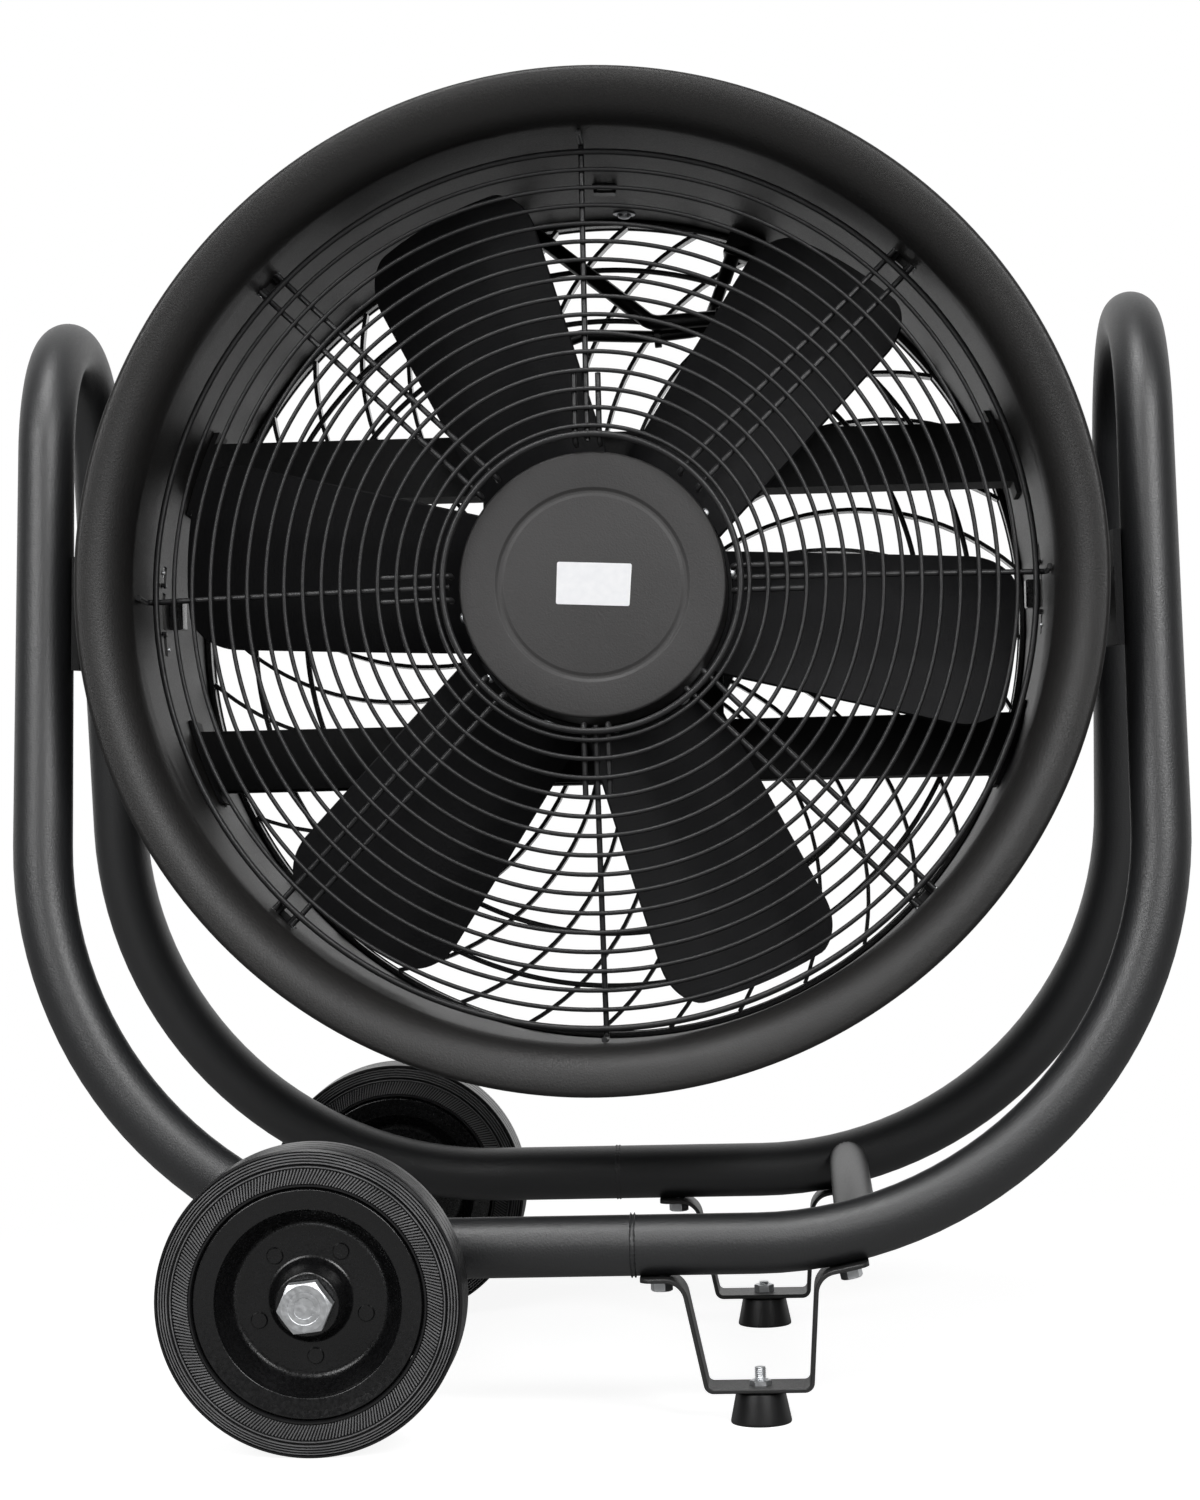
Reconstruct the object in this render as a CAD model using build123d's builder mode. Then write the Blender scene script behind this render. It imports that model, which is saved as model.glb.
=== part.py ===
"""Tilting drum fan on a two-wheeled roll-cage cradle.

Millimetres, +Z up. The front of the fan faces -Y and +X is to its right as seen from the front.
The origin is on the floor, midway between the uprights and midway between the two hoops.
"""
import os
from math import acos, asin, atan2, cos, degrees, hypot, pi, radians, sin, sqrt

from build123d import *

# ---------------------------------------------------------------- driving dimensions
# cradle tubes
tube_d = 31.0
tube_wall = 1.5
tube_bore_sides = 8         # the closed bore, kept to a few flats
upright_gap = 52.0          # drum's wall to the uprights' centre lines
rail_spread = 288.0         # centre to centre of the front and rear bottom rails
rail_height = 91.0          # centre of the bottom rails above the floor
frame_height = 584.0        # top of the handles above the floor
handle_bend_r = 75.0
corner_bend_r = 212.0
front_seam_x = 15.0         # butt welds in the bottom rails
rear_seam_x = -6.0
cross_tube_d = 22.0
cross_tube_wall = 1.5
cross_tube_x = 129.0
cross_tube_gap = 0.6        # weld gap to the rails

# pivot of the drum
pivot_height = 421.0
plate_thickness = 4.0
plate_height = 60.0
plate_overhang = 7.0        # past the centre lines of the uprights
pivot_bolt_d = 12.0
pivot_nut_af = 19.0
pivot_nut_height = 8.0
spacer_d = 26.0
square_head_af = 18.0
square_head_height = 6.0

# wheels
wheel_d = 152.4
wheel_width = 38.0
wheel_shoulder = 3.0
wheel_offset = 58.5         # wheel centre outside the bottom rail's centre
axle_d = 16.0
axle_head_af = 24.0
axle_head_height = 10.0
axle_sleeve_d = 22.0
tyre_seat_r = 57.0
rim_sheet = 2.0
rim_step_r = 45.0
rim_lip_set_in = 1.5
rim_band_slope = 3.0
rim_step_round = 4.0
rim_web_thickness = 4.0
hub_r = 16.0
bush_r = 11.5
bush_overhang = 1.0

# feet
strap_width = 28.0
strap_thickness = 3.0
strap_bend_r = 3.5
strap_left_x = 18.0
strap_leg_top_left_x = 40.0
strap_leg_bottom_left_x = 52.0
strap_leg_bottom_right_x = 103.0
strap_leg_top_right_x = 107.0
strap_right_x = 134.0
strap_bolt_left_x = 29.0
strap_bolt_right_x = 121.0
strap_bolt_d = 8.0
strap_bolt_af = 13.0
strap_bolt_head = 5.3
strap_washer_d = 16.0
strap_washer_thickness = 1.5
strap_bolt_reach = 6.0      # beyond the tube's wall
foot_x = 78.0
foot_height = 16.2
foot_base_d = 31.0
foot_top_d = 25.0
foot_stud_d = 6.0
foot_stud_rise = 9.0        # stud end above the strap

# drum
drum_tilt = 4.6             # front raised, degrees
drum_r = 238.0              # inside of the wall
drum_sheet = 1.6
throat_z = 114.0            # start of the bell, in front of the pivot
bell_r = 24.0
bell_curl_r = 3.0
bell_lip = 3.0
drum_rear_z = -122.0
rear_lip = 4.0

# front guard
guard_hub_ring_r = 77.4
guard_second_ring_r = 81.9
guard_first_ring_r = 91.5
guard_ring_pitch = 9.95
guard_ring_count = 14
guard_outer_ring_r = 230.7
guard_hub_z = 110.0
guard_edge_z = 89.0
ring_wire_d = 2.4
thick_wire_d = 3.4
spoke_wire_d = 3.0
spoke_pair_gap = 12.6       # centre to centre
spoke_tail_z = 111.0
stub_inner_r = 73.5
stub_outer_r = 110.0
stub_hook_depth = 9.0
guard_turn = 2.0            # degrees, as the guard sits in the drum
slot_z = 24.5               # side slots in the wall
slot_length = 11.0
slot_width = 9.0
slot_spacing = 19.0
slot_middle_length = 20.0
window_z = 72.0             # windows for the guard's fixings
window_width = 15.0
window_length = 9.0

# rear guard
rib_count = 36
rib_inner_r = 76.0
rib_sweep_r = 140.0
rib_first_angle = 3.5
rib_thickness = 2.2
rib_depth = 10.0
rib_chords = 4
rear_ring_radii = (178.0, 208.0)
rear_ring_width = 3.0
rear_rim_width = 3.0
rear_hub_width = 6.0
rear_hub_floor = 3.0
rear_guard_gap = 0.4

# motor and rotor
can_r = 69.8
can_front_z = 100.0
can_rear_z = -1.0
can_wall = 3.0
cap_groove_r = 51.0
cap_groove_width = 2.4
cap_groove_depth = 0.8
can_edge = 3.0
shaft_d = 15.0
stator_front_z = 88.0
rotor_air_gap = 1.5
blade_ring_thickness = 2.4
blade_ring_front_z = 52.0
blade_ring_rear_z = 2.0
blade_count = 6
blade_first_angle = 52.0
blade_tip_r = 224.5
blade_root_chord = 75.0      # seen along the shaft
blade_tip_chord = 110.0
blade_mid_z = 27.0
blade_root_pitch = 33.0
blade_tip_pitch = 24.0
blade_camber = 7.0
blade_sheet = 2.0
blade_corner_r = 26.0
motor_plate_width = 130.0
motor_plate_thickness = 4.0
motor_plate_z = -9.0        # rear face, against the rails
rail_offset = 80.0          # rail centres above and below the axis
rail_profile_height = 33.0
rail_depth = 28.0
rail_sheet = 2.5
rail_end_length = 46.0
rail_end_sheet = 2.5
plate_corner_r = 8.0

# supply lead inside the drum
block_angle = 69.3
block_width = 21.0
block_height = 14.0
block_length = 18.0
block_z = -106.0            # rear face
barrel_d = 8.6
barrel_length = 15.0
barrel_offset = 5.2         # towards the top, from the middle of the block
lead_d = 7.0
lead_sides = 8
lead_bend_r = 12.0
lead_tail = 16.0            # straight stretch out of the barrel
lead_points = (
    (58, 164, -72),
    (27, 161, -71),
    (-12, 163, -71),
    (-52, 148, -66),
    (-48, 104, -56),
    (-34, 42, -50),
)
lead_end = (-34, 42)
sleeve_d = 9.0
sleeve_wall_gap = 8.0       # sleeve's end below the top of the drum
sleeve_points = (
    (-46.2, drum_r - sleeve_wall_gap, -78),
    (28, 167, -62),
    (66, 169, -62),
    (102, 146, -60),
    (108, 88, -41.8),
)

# fits
running_gap = 0.05          # radial, on pins and shafts
seat_gap = 0.3              # between curved faces of different bodies

# ---------------------------------------------------------------- derived places
tube_r = tube_d / 2
upright_x = drum_r + upright_gap
rail_y = rail_spread / 2
bend_x = upright_x - corner_bend_r
handle_z = frame_height - tube_r - handle_bend_r
handle_reach = hypot(rail_y, handle_z - rail_height)
lean = atan2(rail_y, handle_z - rail_height) - asin(handle_bend_r / handle_reach)
leg_top_y = handle_bend_r * cos(lean)
leg_top_z = handle_z + handle_bend_r * sin(lean)

wheel_r = wheel_d / 2
axle_r = axle_d / 2
axle_below_rail = (rail_height - wheel_r) / cos(lean)
axle_reach = corner_bend_r + (tube_r + axle_r) / cos(lean)
axle_x = -bend_x - sqrt(axle_reach ** 2 - (corner_bend_r + axle_below_rail) ** 2)
wheel_y = rail_y + wheel_offset

tilt = radians(drum_tilt)
forward = Vector(0, -cos(tilt), sin(tilt))
upward = Vector(0, sin(tilt), cos(tilt))
pivot = Vector(0, 0, pivot_height)
drum_plane = Plane(origin=pivot, x_dir=(1, 0, 0), z_dir=forward)
drum_section = Plane(origin=pivot, x_dir=(1, 0, 0), z_dir=-upward)
drum_axis = Axis(pivot, forward)

os.makedirs("parts", exist_ok=True)


def leg_y(z):
    """Distance of an upright's centre line from the middle plane, at height z on its straight run."""
    return leg_top_y + (leg_top_z - z) * sin(lean) / cos(lean)


def rail_rise(x):
    """Height of a bottom tube's centre line above the rails, where it climbs into the corner bend."""
    run = max(abs(x) - bend_x, 0)
    return (corner_bend_r - sqrt(corner_bend_r ** 2 - run ** 2)) * cos(lean)


def rail_slope(x):
    """Slope angle of the bottom tube at x in the front view, in radians."""
    run = max(abs(x) - bend_x, 0)
    return atan2(run * cos(lean), sqrt(corner_bend_r ** 2 - run ** 2))


def rail_centre(x, front):
    """Centre of the front (-1) or rear (1) bottom tube at x."""
    rise = rail_rise(x)
    return Vector(x, front * (rail_y - rise * sin(lean) / cos(lean)), rail_height + rise)


def rail_down(x):
    """Direction square to the tube's underside at x, in the front view."""
    return Vector(sin(rail_slope(x)), 0, -cos(rail_slope(x)))


def rail_plane(x, front):
    """Plane square across the front (-1) or rear (1) bottom tube at x."""
    turn = asin(max(abs(x) - bend_x, 0) / corner_bend_r)
    along = Vector(cos(turn), -front * sin(turn) * sin(lean), sin(turn) * cos(lean))
    return Plane(origin=rail_centre(x, front), z_dir=along)


def save(name, part):
    part.label = name
    export_step(part, f"parts/{name}.step")


# ---------------------------------------------------------------- cradle tubes
def bend_point(side, front, angle):
    """A point on a corner bend: angle 0 is on the bottom rail, pi / 2 at the foot of the upright."""
    climb = corner_bend_r * (1 - cos(angle))
    return Vector(
        side * (bend_x + corner_bend_r * sin(angle)),
        front * (rail_y - climb * sin(lean)),
        rail_height + climb * cos(lean),
    )


def hoop_half(side):
    """Centre line of one half of the cradle, from the front weld over the handle to the rear weld."""
    start = Vector(front_seam_x, -rail_y, rail_height)
    end = Vector(rear_seam_x, rail_y, rail_height)
    front = [bend_point(side, -1, turn) for turn in (0, pi / 4, pi / 2)]
    rear = [bend_point(side, 1, turn) for turn in (pi / 2, pi / 4, 0)]
    front_top = Vector(side * upright_x, -leg_top_y, leg_top_z)
    rear_top = Vector(side * upright_x, leg_top_y, leg_top_z)
    crown = Vector(side * upright_x, 0, handle_z + handle_bend_r)
    Line(start, front[0])
    ThreePointArc(*front)
    Line(front[2], front_top)
    ThreePointArc(front_top, crown, rear_top)
    Line(rear_top, rear[0])
    ThreePointArc(*rear)
    Line(rear[2], end)


def strap_bolt_hole(x, front):
    """A strap bolt's hole, drawn at the centre of the bottom tube and facing down."""
    with BuildSketch(Plane(origin=rail_centre(x, front), z_dir=rail_down(x))) as hole:
        Circle(strap_bolt_d / 2 + running_gap)
    return hole.sketch


with BuildPart() as frame_tube_left:
    with BuildLine():
        hoop_half(-1)
    with BuildSketch(Plane(origin=(front_seam_x, -rail_y, rail_height), z_dir=(-1, 0, 0))):
        Circle(tube_r)
        RegularPolygon(tube_r - tube_wall, tube_bore_sides, mode=Mode.SUBTRACT)
    sweep()

with BuildPart() as frame_tube_right:
    with BuildLine():
        hoop_half(1)
    with BuildSketch(Plane(origin=(front_seam_x, -rail_y, rail_height), z_dir=(1, 0, 0))):
        Circle(tube_r)
        RegularPolygon(tube_r - tube_wall, tube_bore_sides, mode=Mode.SUBTRACT)
    sweep()
    for bolt_x in (strap_bolt_left_x, strap_bolt_right_x):
        for front in (-1, 1):
            extrude(strap_bolt_hole(bolt_x, front), amount=tube_d, mode=Mode.SUBTRACT)

with BuildPart() as cross_tube:
    middle = Vector(cross_tube_x, 0, rail_height + rail_rise(cross_tube_x))
    with BuildSketch(Plane(origin=middle, z_dir=(0, 1, 0))):
        Circle(cross_tube_d / 2)
        Circle(cross_tube_d / 2 - cross_tube_wall, mode=Mode.SUBTRACT)
    extrude(amount=rail_y, both=True)
    for front in (-1, 1):
        with BuildSketch(rail_plane(cross_tube_x, front)):
            Circle(tube_r + cross_tube_gap)
        extrude(amount=cross_tube_d, both=True, mode=Mode.SUBTRACT)

# ---------------------------------------------------------------- pivot plates
plate_inner_x = upright_x - tube_r - plate_thickness


def pivot_plate(side):
    """Plate welded across the inner sides of a pair of uprights, with the bearing hole of the pivot."""
    low = pivot_height - plate_height / 2
    high = pivot_height + plate_height / 2
    low_y = leg_y(low) + plate_overhang
    high_y = leg_y(high) + plate_overhang
    with BuildPart() as plate:
        with BuildSketch(Plane(origin=(side * plate_inner_x, 0, 0), x_dir=(0, side, 0), z_dir=(side, 0, 0))):
            with BuildLine():
                Polyline((-low_y, low), (low_y, low), (high_y, high), (-high_y, high), close=True)
            make_face()
            with Locations((0, pivot_height)):
                Circle(pivot_bolt_d / 2 + running_gap, mode=Mode.SUBTRACT)
        extrude(amount=plate_thickness)
    return plate


pivot_plate_left = pivot_plate(-1)
pivot_plate_right = pivot_plate(1)

# ---------------------------------------------------------------- axle
bush_half = wheel_width / 2 + bush_overhang
axle_head_y = wheel_y + bush_half + seat_gap
axle_end_y = axle_head_y + axle_head_height


def axle_face(y, front=1):
    """Plane across the axle at distance y from the middle, looking outwards."""
    return Plane(origin=(axle_x, front * y, wheel_r), x_dir=(1, 0, 0), z_dir=(0, front, 0))


with BuildPart() as axle_rod:
    with BuildSketch(axle_face(-axle_head_y)):
        Circle(axle_r)
    extrude(amount=axle_head_y + axle_end_y)
    with BuildSketch(axle_face(axle_head_y, -1)):
        RegularPolygon(axle_head_af / 2, 6, major_radius=False)
    extrude(amount=axle_head_height)

with BuildPart() as axle_nut:
    with BuildSketch(axle_face(axle_head_y)):
        RegularPolygon(axle_head_af / 2, 6, major_radius=False)
        Circle(axle_r + running_gap, mode=Mode.SUBTRACT)
    extrude(amount=axle_head_height)

with BuildPart() as axle_sleeves:
    for front in (-1, 1):
        with BuildSketch(axle_face(rail_y + tube_r + seat_gap, front)):
            Circle(axle_sleeve_d / 2)
            Circle(axle_r + running_gap, mode=Mode.SUBTRACT)
        extrude(amount=wheel_offset - tube_r - bush_half - 2 * seat_gap)

# ---------------------------------------------------------------- wheels
wheel_half = wheel_width / 2
lip_y = wheel_half - rim_lip_set_in
dish_r = rim_step_r - rim_step_round
web_half = rim_web_thickness / 2


def wheel_section(front):
    """Plane through the wheel's axis: x is the radius and y points along the axle."""
    return Plane(origin=(axle_x, front * wheel_y, wheel_r), x_dir=(1, 0, 0), z_dir=(0, 0, 1))


def wheel_axis(front):
    return Axis((axle_x, front * wheel_y, wheel_r), (0, 1, 0))


def tyre(front):
    """Solid rubber tyre with bevelled shoulders."""
    with BuildPart() as rubber:
        with BuildSketch(wheel_section(front)) as profile:
            with Locations(((tyre_seat_r + wheel_r) / 2, 0)):
                Rectangle(wheel_r - tyre_seat_r, wheel_width)
            chamfer(profile.vertices().group_by(Axis.X)[-1], wheel_shoulder)
        revolve(axis=wheel_axis(front))
    return rubber


def rim(front):
    """Steel wheel disc, dished on both faces, with its hub."""
    with BuildPart() as disc:
        with BuildSketch(wheel_section(front)) as profile:
            with BuildLine():
                Polyline(
                    (tyre_seat_r, 0),
                    (tyre_seat_r, lip_y),
                    (tyre_seat_r - rim_sheet, lip_y),
                    (rim_step_r, lip_y - rim_band_slope),
                    (dish_r, web_half),
                    (hub_r, web_half),
                    (hub_r, wheel_half),
                    (bush_r, wheel_half),
                    (bush_r, 0),
                    close=True,
                )
            make_face()
            mirror(about=Plane.XZ)
        revolve(axis=wheel_axis(front))
    return disc


def bush(front):
    """Plastic bush that runs on the axle."""
    with BuildPart() as bearing:
        with BuildSketch(axle_face(wheel_y - bush_half, front)):
            Circle(bush_r)
            Circle(axle_r + running_gap, mode=Mode.SUBTRACT)
        extrude(amount=2 * bush_half)
    return bearing


tyre_front = tyre(-1)
tyre_rear = tyre(1)
wheel_rim_front = rim(-1)
wheel_rim_rear = rim(1)
wheel_bush_front = bush(-1)
wheel_bush_rear = bush(1)

# ---------------------------------------------------------------- feet
strap_top_z = rail_height - tube_r
strap_floor_z = foot_height + strap_thickness
right_down = rail_down(strap_bolt_right_x)
right_seat = rail_centre(strap_bolt_right_x, -1) + right_down * tube_r


def right_flange_z(x):
    """Upper face of the strap's right flange, which lies along the sloping tube."""
    return right_seat.Z + (x - right_seat.X) * sin(rail_slope(strap_bolt_right_x)) / cos(
        rail_slope(strap_bolt_right_x)
    )


def strap_seat(x, front):
    """Where a strap bolt's axis meets the underside of the tube."""
    return rail_centre(x, front) + rail_down(x) * tube_r


def foot_strap(front):
    """Flat bar bent to a U, bolted under the rail, with the threaded hole of the foot."""
    start = Plane(origin=(0, front * rail_y + strap_width / 2, 0), x_dir=(1, 0, 0), z_dir=(0, -1, 0))
    with BuildPart() as strap:
        with BuildSketch(start):
            with BuildLine() as outline:
                FilletPolyline(
                    (strap_left_x, strap_top_z),
                    (strap_leg_top_left_x, strap_top_z),
                    (strap_leg_bottom_left_x, strap_floor_z),
                    (strap_leg_bottom_right_x, strap_floor_z),
                    (strap_leg_top_right_x, right_flange_z(strap_leg_top_right_x)),
                    (strap_right_x, right_flange_z(strap_right_x)),
                    radius=strap_bend_r,
                )
                offset(amount=strap_thickness, side=Side.RIGHT)
            make_face()
        extrude(amount=strap_width)
        for bolt_x in (strap_bolt_left_x, strap_bolt_right_x):
            with BuildSketch(Plane(origin=strap_seat(bolt_x, front), z_dir=rail_down(bolt_x))):
                Circle(strap_bolt_d / 2 + running_gap)
            extrude(amount=strap_thickness * 2, both=True, mode=Mode.SUBTRACT)
        with BuildSketch(Plane(origin=(foot_x, front * rail_y, foot_height))):
            Circle(foot_stud_d / 2 + running_gap)
        extrude(amount=strap_thickness, mode=Mode.SUBTRACT)
    return strap


foot_strap_front = foot_strap(-1)
foot_strap_rear = foot_strap(1)

with BuildPart() as strap_bolts:
    for front in (-1, 1):
        for bolt_x in (strap_bolt_left_x, strap_bolt_right_x):
            under = strap_seat(bolt_x, front) + rail_down(bolt_x) * strap_thickness
            seat = Plane(origin=under, z_dir=rail_down(bolt_x))
            with BuildSketch(seat):
                Circle(strap_washer_d / 2)
            extrude(amount=strap_washer_thickness)
            with BuildSketch(seat.offset(strap_washer_thickness)):
                RegularPolygon(strap_bolt_af / 2, 6, major_radius=False)
            extrude(amount=strap_bolt_head)
            with BuildSketch(seat):
                Circle(strap_bolt_d / 2)
            extrude(amount=-(strap_thickness + tube_wall + strap_bolt_reach))


def rubber_foot(front):
    """Conical rubber foot, bonded to the lower end of its stud."""
    with BuildPart() as cone:
        with BuildSketch(Plane(origin=(foot_x, front * rail_y, 0))):
            Circle(foot_base_d / 2)
        with BuildSketch(Plane(origin=(foot_x, front * rail_y, foot_height))):
            Circle(foot_top_d / 2)
        loft()
    return cone


rubber_foot_front = rubber_foot(-1)
rubber_foot_rear = rubber_foot(1)

with BuildPart() as foot_studs:
    for front in (-1, 1):
        with BuildSketch(Plane(origin=(foot_x, front * rail_y, foot_height))):
            Circle(foot_stud_d / 2)
        extrude(amount=strap_thickness + foot_stud_rise)

# ---------------------------------------------------------------- drum shell
drum_outer_r = drum_r + drum_sheet
bell_centre = (drum_r + bell_r, throat_z)
curl_centre = (drum_r + bell_r, throat_z + bell_r - bell_curl_r)
rim_r = drum_r + bell_r + bell_curl_r
rim_lip_z = throat_z + bell_r - bell_curl_r - bell_lip


def across_drum(z):
    """Plane across the drum's axis, z in front of the pivot."""
    return drum_plane.offset(z)


def ring_face(inner_r, outer_r, rear_z):
    """A flat ring across the drum's axis."""
    with BuildSketch(across_drum(rear_z)) as ring:
        Circle(outer_r)
        Circle(inner_r, mode=Mode.SUBTRACT)
    return ring.sketch


def radial_plane(angle, radius, z):
    """Plane that faces outwards at a place on a cylinder round the drum's axis; its x is forward."""
    out = drum_plane.x_dir * cos(radians(angle)) + upward * sin(radians(angle))
    return Plane(origin=pivot + out * radius + forward * z, x_dir=forward, z_dir=out)


with BuildPart() as drum_shell:
    with BuildSketch(drum_section):
        with BuildLine():
            Line((drum_r, drum_rear_z + drum_sheet), (drum_r, throat_z))
            CenterArc(bell_centre, bell_r, 180, -90)
            CenterArc(curl_centre, bell_curl_r, 90, -90)
            Polyline(
                (rim_r, throat_z + bell_r - bell_curl_r),
                (rim_r, rim_lip_z),
                (rim_r - drum_sheet, rim_lip_z),
                (rim_r - drum_sheet, throat_z + bell_r - bell_curl_r),
            )
            CenterArc(curl_centre, bell_curl_r - drum_sheet, 0, 90)
            CenterArc(bell_centre, bell_r - drum_sheet, 90, 90)
            Polyline(
                (drum_outer_r, throat_z),
                (drum_outer_r, drum_rear_z),
                (drum_r - rear_lip, drum_rear_z),
                (drum_r - rear_lip, drum_rear_z + drum_sheet),
                (drum_r, drum_rear_z + drum_sheet),
            )
        make_face()
    revolve(axis=drum_axis)
    for angle in (0, 180):
        with BuildSketch(radial_plane(angle, drum_r, 0)):
            Circle(pivot_bolt_d / 2 + running_gap)
        extrude(amount=drum_sheet * 3, both=True, mode=Mode.SUBTRACT)
        with BuildSketch(radial_plane(angle, drum_r, slot_z)):
            Rectangle(slot_width, slot_middle_length)
            with Locations((0, -slot_spacing), (0, slot_spacing)):
                Rectangle(slot_width, slot_length)
        extrude(amount=drum_sheet * 3, both=True, mode=Mode.SUBTRACT)
    for angle in (45, 135, 225, 315):
        with BuildSketch(radial_plane(angle + guard_turn, drum_r, window_z)):
            Rectangle(window_length, window_width)
        extrude(amount=drum_sheet * 3, both=True, mode=Mode.SUBTRACT)

# ---------------------------------------------------------------- pivot bolts of the drum
square_head_x = drum_r - square_head_height - seat_gap
pivot_nut_x = upright_x - tube_r + seat_gap


def pivot_face(x, side):
    """Plane across the pivot's axis at distance x from the middle, looking outwards."""
    return Plane(origin=(side * x, 0, pivot_height), x_dir=(0, side, 0), z_dir=(side, 0, 0))


with BuildPart() as pivot_bolts:
    for side in (-1, 1):
        with BuildSketch(pivot_face(square_head_x, side)):
            Rectangle(square_head_af, square_head_af)
        extrude(amount=square_head_height)
        with BuildSketch(pivot_face(square_head_x, side)):
            Circle(pivot_bolt_d / 2)
        extrude(amount=pivot_nut_x + pivot_nut_height - square_head_x)

with BuildPart() as pivot_spacers:
    for side in (-1, 1):
        with BuildSketch(pivot_face(drum_outer_r + running_gap, side)):
            Circle(spacer_d / 2)
            Circle(pivot_bolt_d / 2 + running_gap, mode=Mode.SUBTRACT)
        extrude(amount=plate_inner_x - seat_gap - drum_outer_r - running_gap)

with BuildPart() as pivot_nuts:
    for side in (-1, 1):
        with BuildSketch(pivot_face(pivot_nut_x, side)):
            RegularPolygon(pivot_nut_af / 2, 6, major_radius=False)
            Circle(pivot_bolt_d / 2 + running_gap, mode=Mode.SUBTRACT)
        extrude(amount=pivot_nut_height)

# ---------------------------------------------------------------- front guard
dome_r = (guard_outer_ring_r ** 2 - guard_hub_ring_r ** 2) / (2 * (guard_hub_z - guard_edge_z))
ring_wire_r = ring_wire_d / 2
thick_wire_r = thick_wire_d / 2
spoke_wire_r = spoke_wire_d / 2


def dome_z(radius):
    """Height of the domed guard in front of the pivot at a distance from the axis."""
    return guard_hub_z - (radius ** 2 - guard_hub_ring_r ** 2) / (2 * dome_r)


def spoke_z(radius):
    """Centre line of the radial wires, which lie behind the rings."""
    return dome_z(radius) - ring_wire_r - spoke_wire_r


def guard_direction(angle):
    turn = radians(angle + guard_turn)
    return drum_plane.x_dir * cos(turn) + upward * sin(turn)


def radial_wire(angle, sideways, stations):
    """Section and path of a wire beside the axis; stations are (radius, z) pairs."""
    out = guard_direction(angle)
    across = guard_direction(angle + 90)
    places = [pivot + out * r + across * sideways + forward * z for r, z in stations]
    with BuildLine() as run:
        Polyline(*places)
    with BuildSketch(Plane(origin=places[0], z_dir=places[1] - places[0])) as section:
        RegularPolygon(spoke_wire_r, 4)
    return section.sketch, run.line


with BuildPart() as guard_rings:
    with BuildSketch(drum_section):
        fine_rings = [guard_first_ring_r + guard_ring_pitch * step for step in range(guard_ring_count)]
        for radius in [guard_second_ring_r] + fine_rings:
            with Locations((radius, dome_z(radius))):
                RegularPolygon(ring_wire_r, 4)
        for radius in (guard_hub_ring_r, guard_outer_ring_r):
            with Locations((radius, dome_z(radius) + thick_wire_r - ring_wire_r)):
                RegularPolygon(thick_wire_r, 4)
    revolve(axis=drum_axis)

arms = [guard_outer_ring_r * share for share in (0.65, 0.82)]
spoke_end_r = drum_r - seat_gap - spoke_wire_r
edge_z = spoke_z(guard_outer_ring_r)

with BuildPart() as guard_spokes:
    singles = [(r, spoke_z(r)) for r in [guard_hub_ring_r - thick_wire_r] + arms + [guard_outer_ring_r]]
    tail = [(spoke_end_r, edge_z), (spoke_end_r, spoke_tail_z)]
    hook = [(stub_inner_r, spoke_z(stub_inner_r) - stub_hook_depth), (stub_inner_r, spoke_z(stub_inner_r))]
    outward = [(r, spoke_z(r)) for r in arms + [guard_outer_ring_r]] + [(drum_r - 2 * seat_gap, edge_z)]
    wires = []
    for angle in (0, 90, 180, 270):
        wires.append(radial_wire(angle, 0, singles + tail))
        for sideways in (-spoke_pair_gap / 2, spoke_pair_gap / 2):
            wires.append(radial_wire(angle, sideways, hook + [(stub_outer_r, spoke_z(stub_outer_r))]))
            wires.append(radial_wire(angle + 45, sideways, hook + outward))
    for section, run in wires:
        sweep(section, path=run, transition=Transition.RIGHT)

# ---------------------------------------------------------------- rear guard
rim_middle_r = drum_r - rear_guard_gap - rear_rim_width / 2
rear_guard_z = drum_rear_z + drum_sheet
sweep_a = 2 * rib_inner_r * rib_sweep_r
sweep_b = 2 * rib_sweep_r ** 2
sweep_reach = (rim_middle_r ** 2 - rib_inner_r ** 2 - sweep_b) / hypot(sweep_a, sweep_b)
sweep_angle = atan2(sweep_b, sweep_a) + asin(sweep_reach)
rib_turns = [sweep_angle * step / rib_chords for step in range(rib_chords + 1)]


def rib_point(turn, side):
    """A point on one face of a rib, which leaves the hub radially and bends clockwise."""
    face_r = rib_sweep_r + side * rib_thickness / 2
    return (rib_inner_r + face_r * sin(turn), face_r * cos(turn) - rib_sweep_r)


with BuildPart() as rear_guard:
    near_face = [rib_point(turn, -1) for turn in rib_turns]
    far_face = [rib_point(turn, 1) for turn in reversed(rib_turns)]
    root_r = rib_inner_r - rear_hub_width / 2
    root = [(root_r, rib_thickness / 2), (root_r, -rib_thickness / 2)]
    with BuildSketch(across_drum(rear_guard_z)):
        with PolarLocations(0, rib_count, rib_first_angle):
            Polygon(*near_face, *far_face, *root, align=None)
        Circle(rib_inner_r)
    extrude(amount=rib_depth)
    with BuildSketch(across_drum(rear_guard_z)):
        Circle(rim_middle_r + rear_rim_width / 2)
        Circle(rim_middle_r - rear_rim_width / 2, mode=Mode.SUBTRACT)
    extrude(amount=rib_depth)
    with BuildSketch(across_drum(rear_guard_z + rear_hub_floor)):
        Circle(rib_inner_r - rear_hub_width)
    extrude(amount=rib_depth, mode=Mode.SUBTRACT)

with BuildPart() as rear_guard_rings:
    for radius in rear_ring_radii:
        ring = ring_face(radius - rear_ring_width / 2, radius + rear_ring_width / 2, rear_guard_z + rib_depth)
        extrude(ring, amount=rear_ring_width)

# ---------------------------------------------------------------- motor rails
rail_tab_r = drum_r - seat_gap


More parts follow.
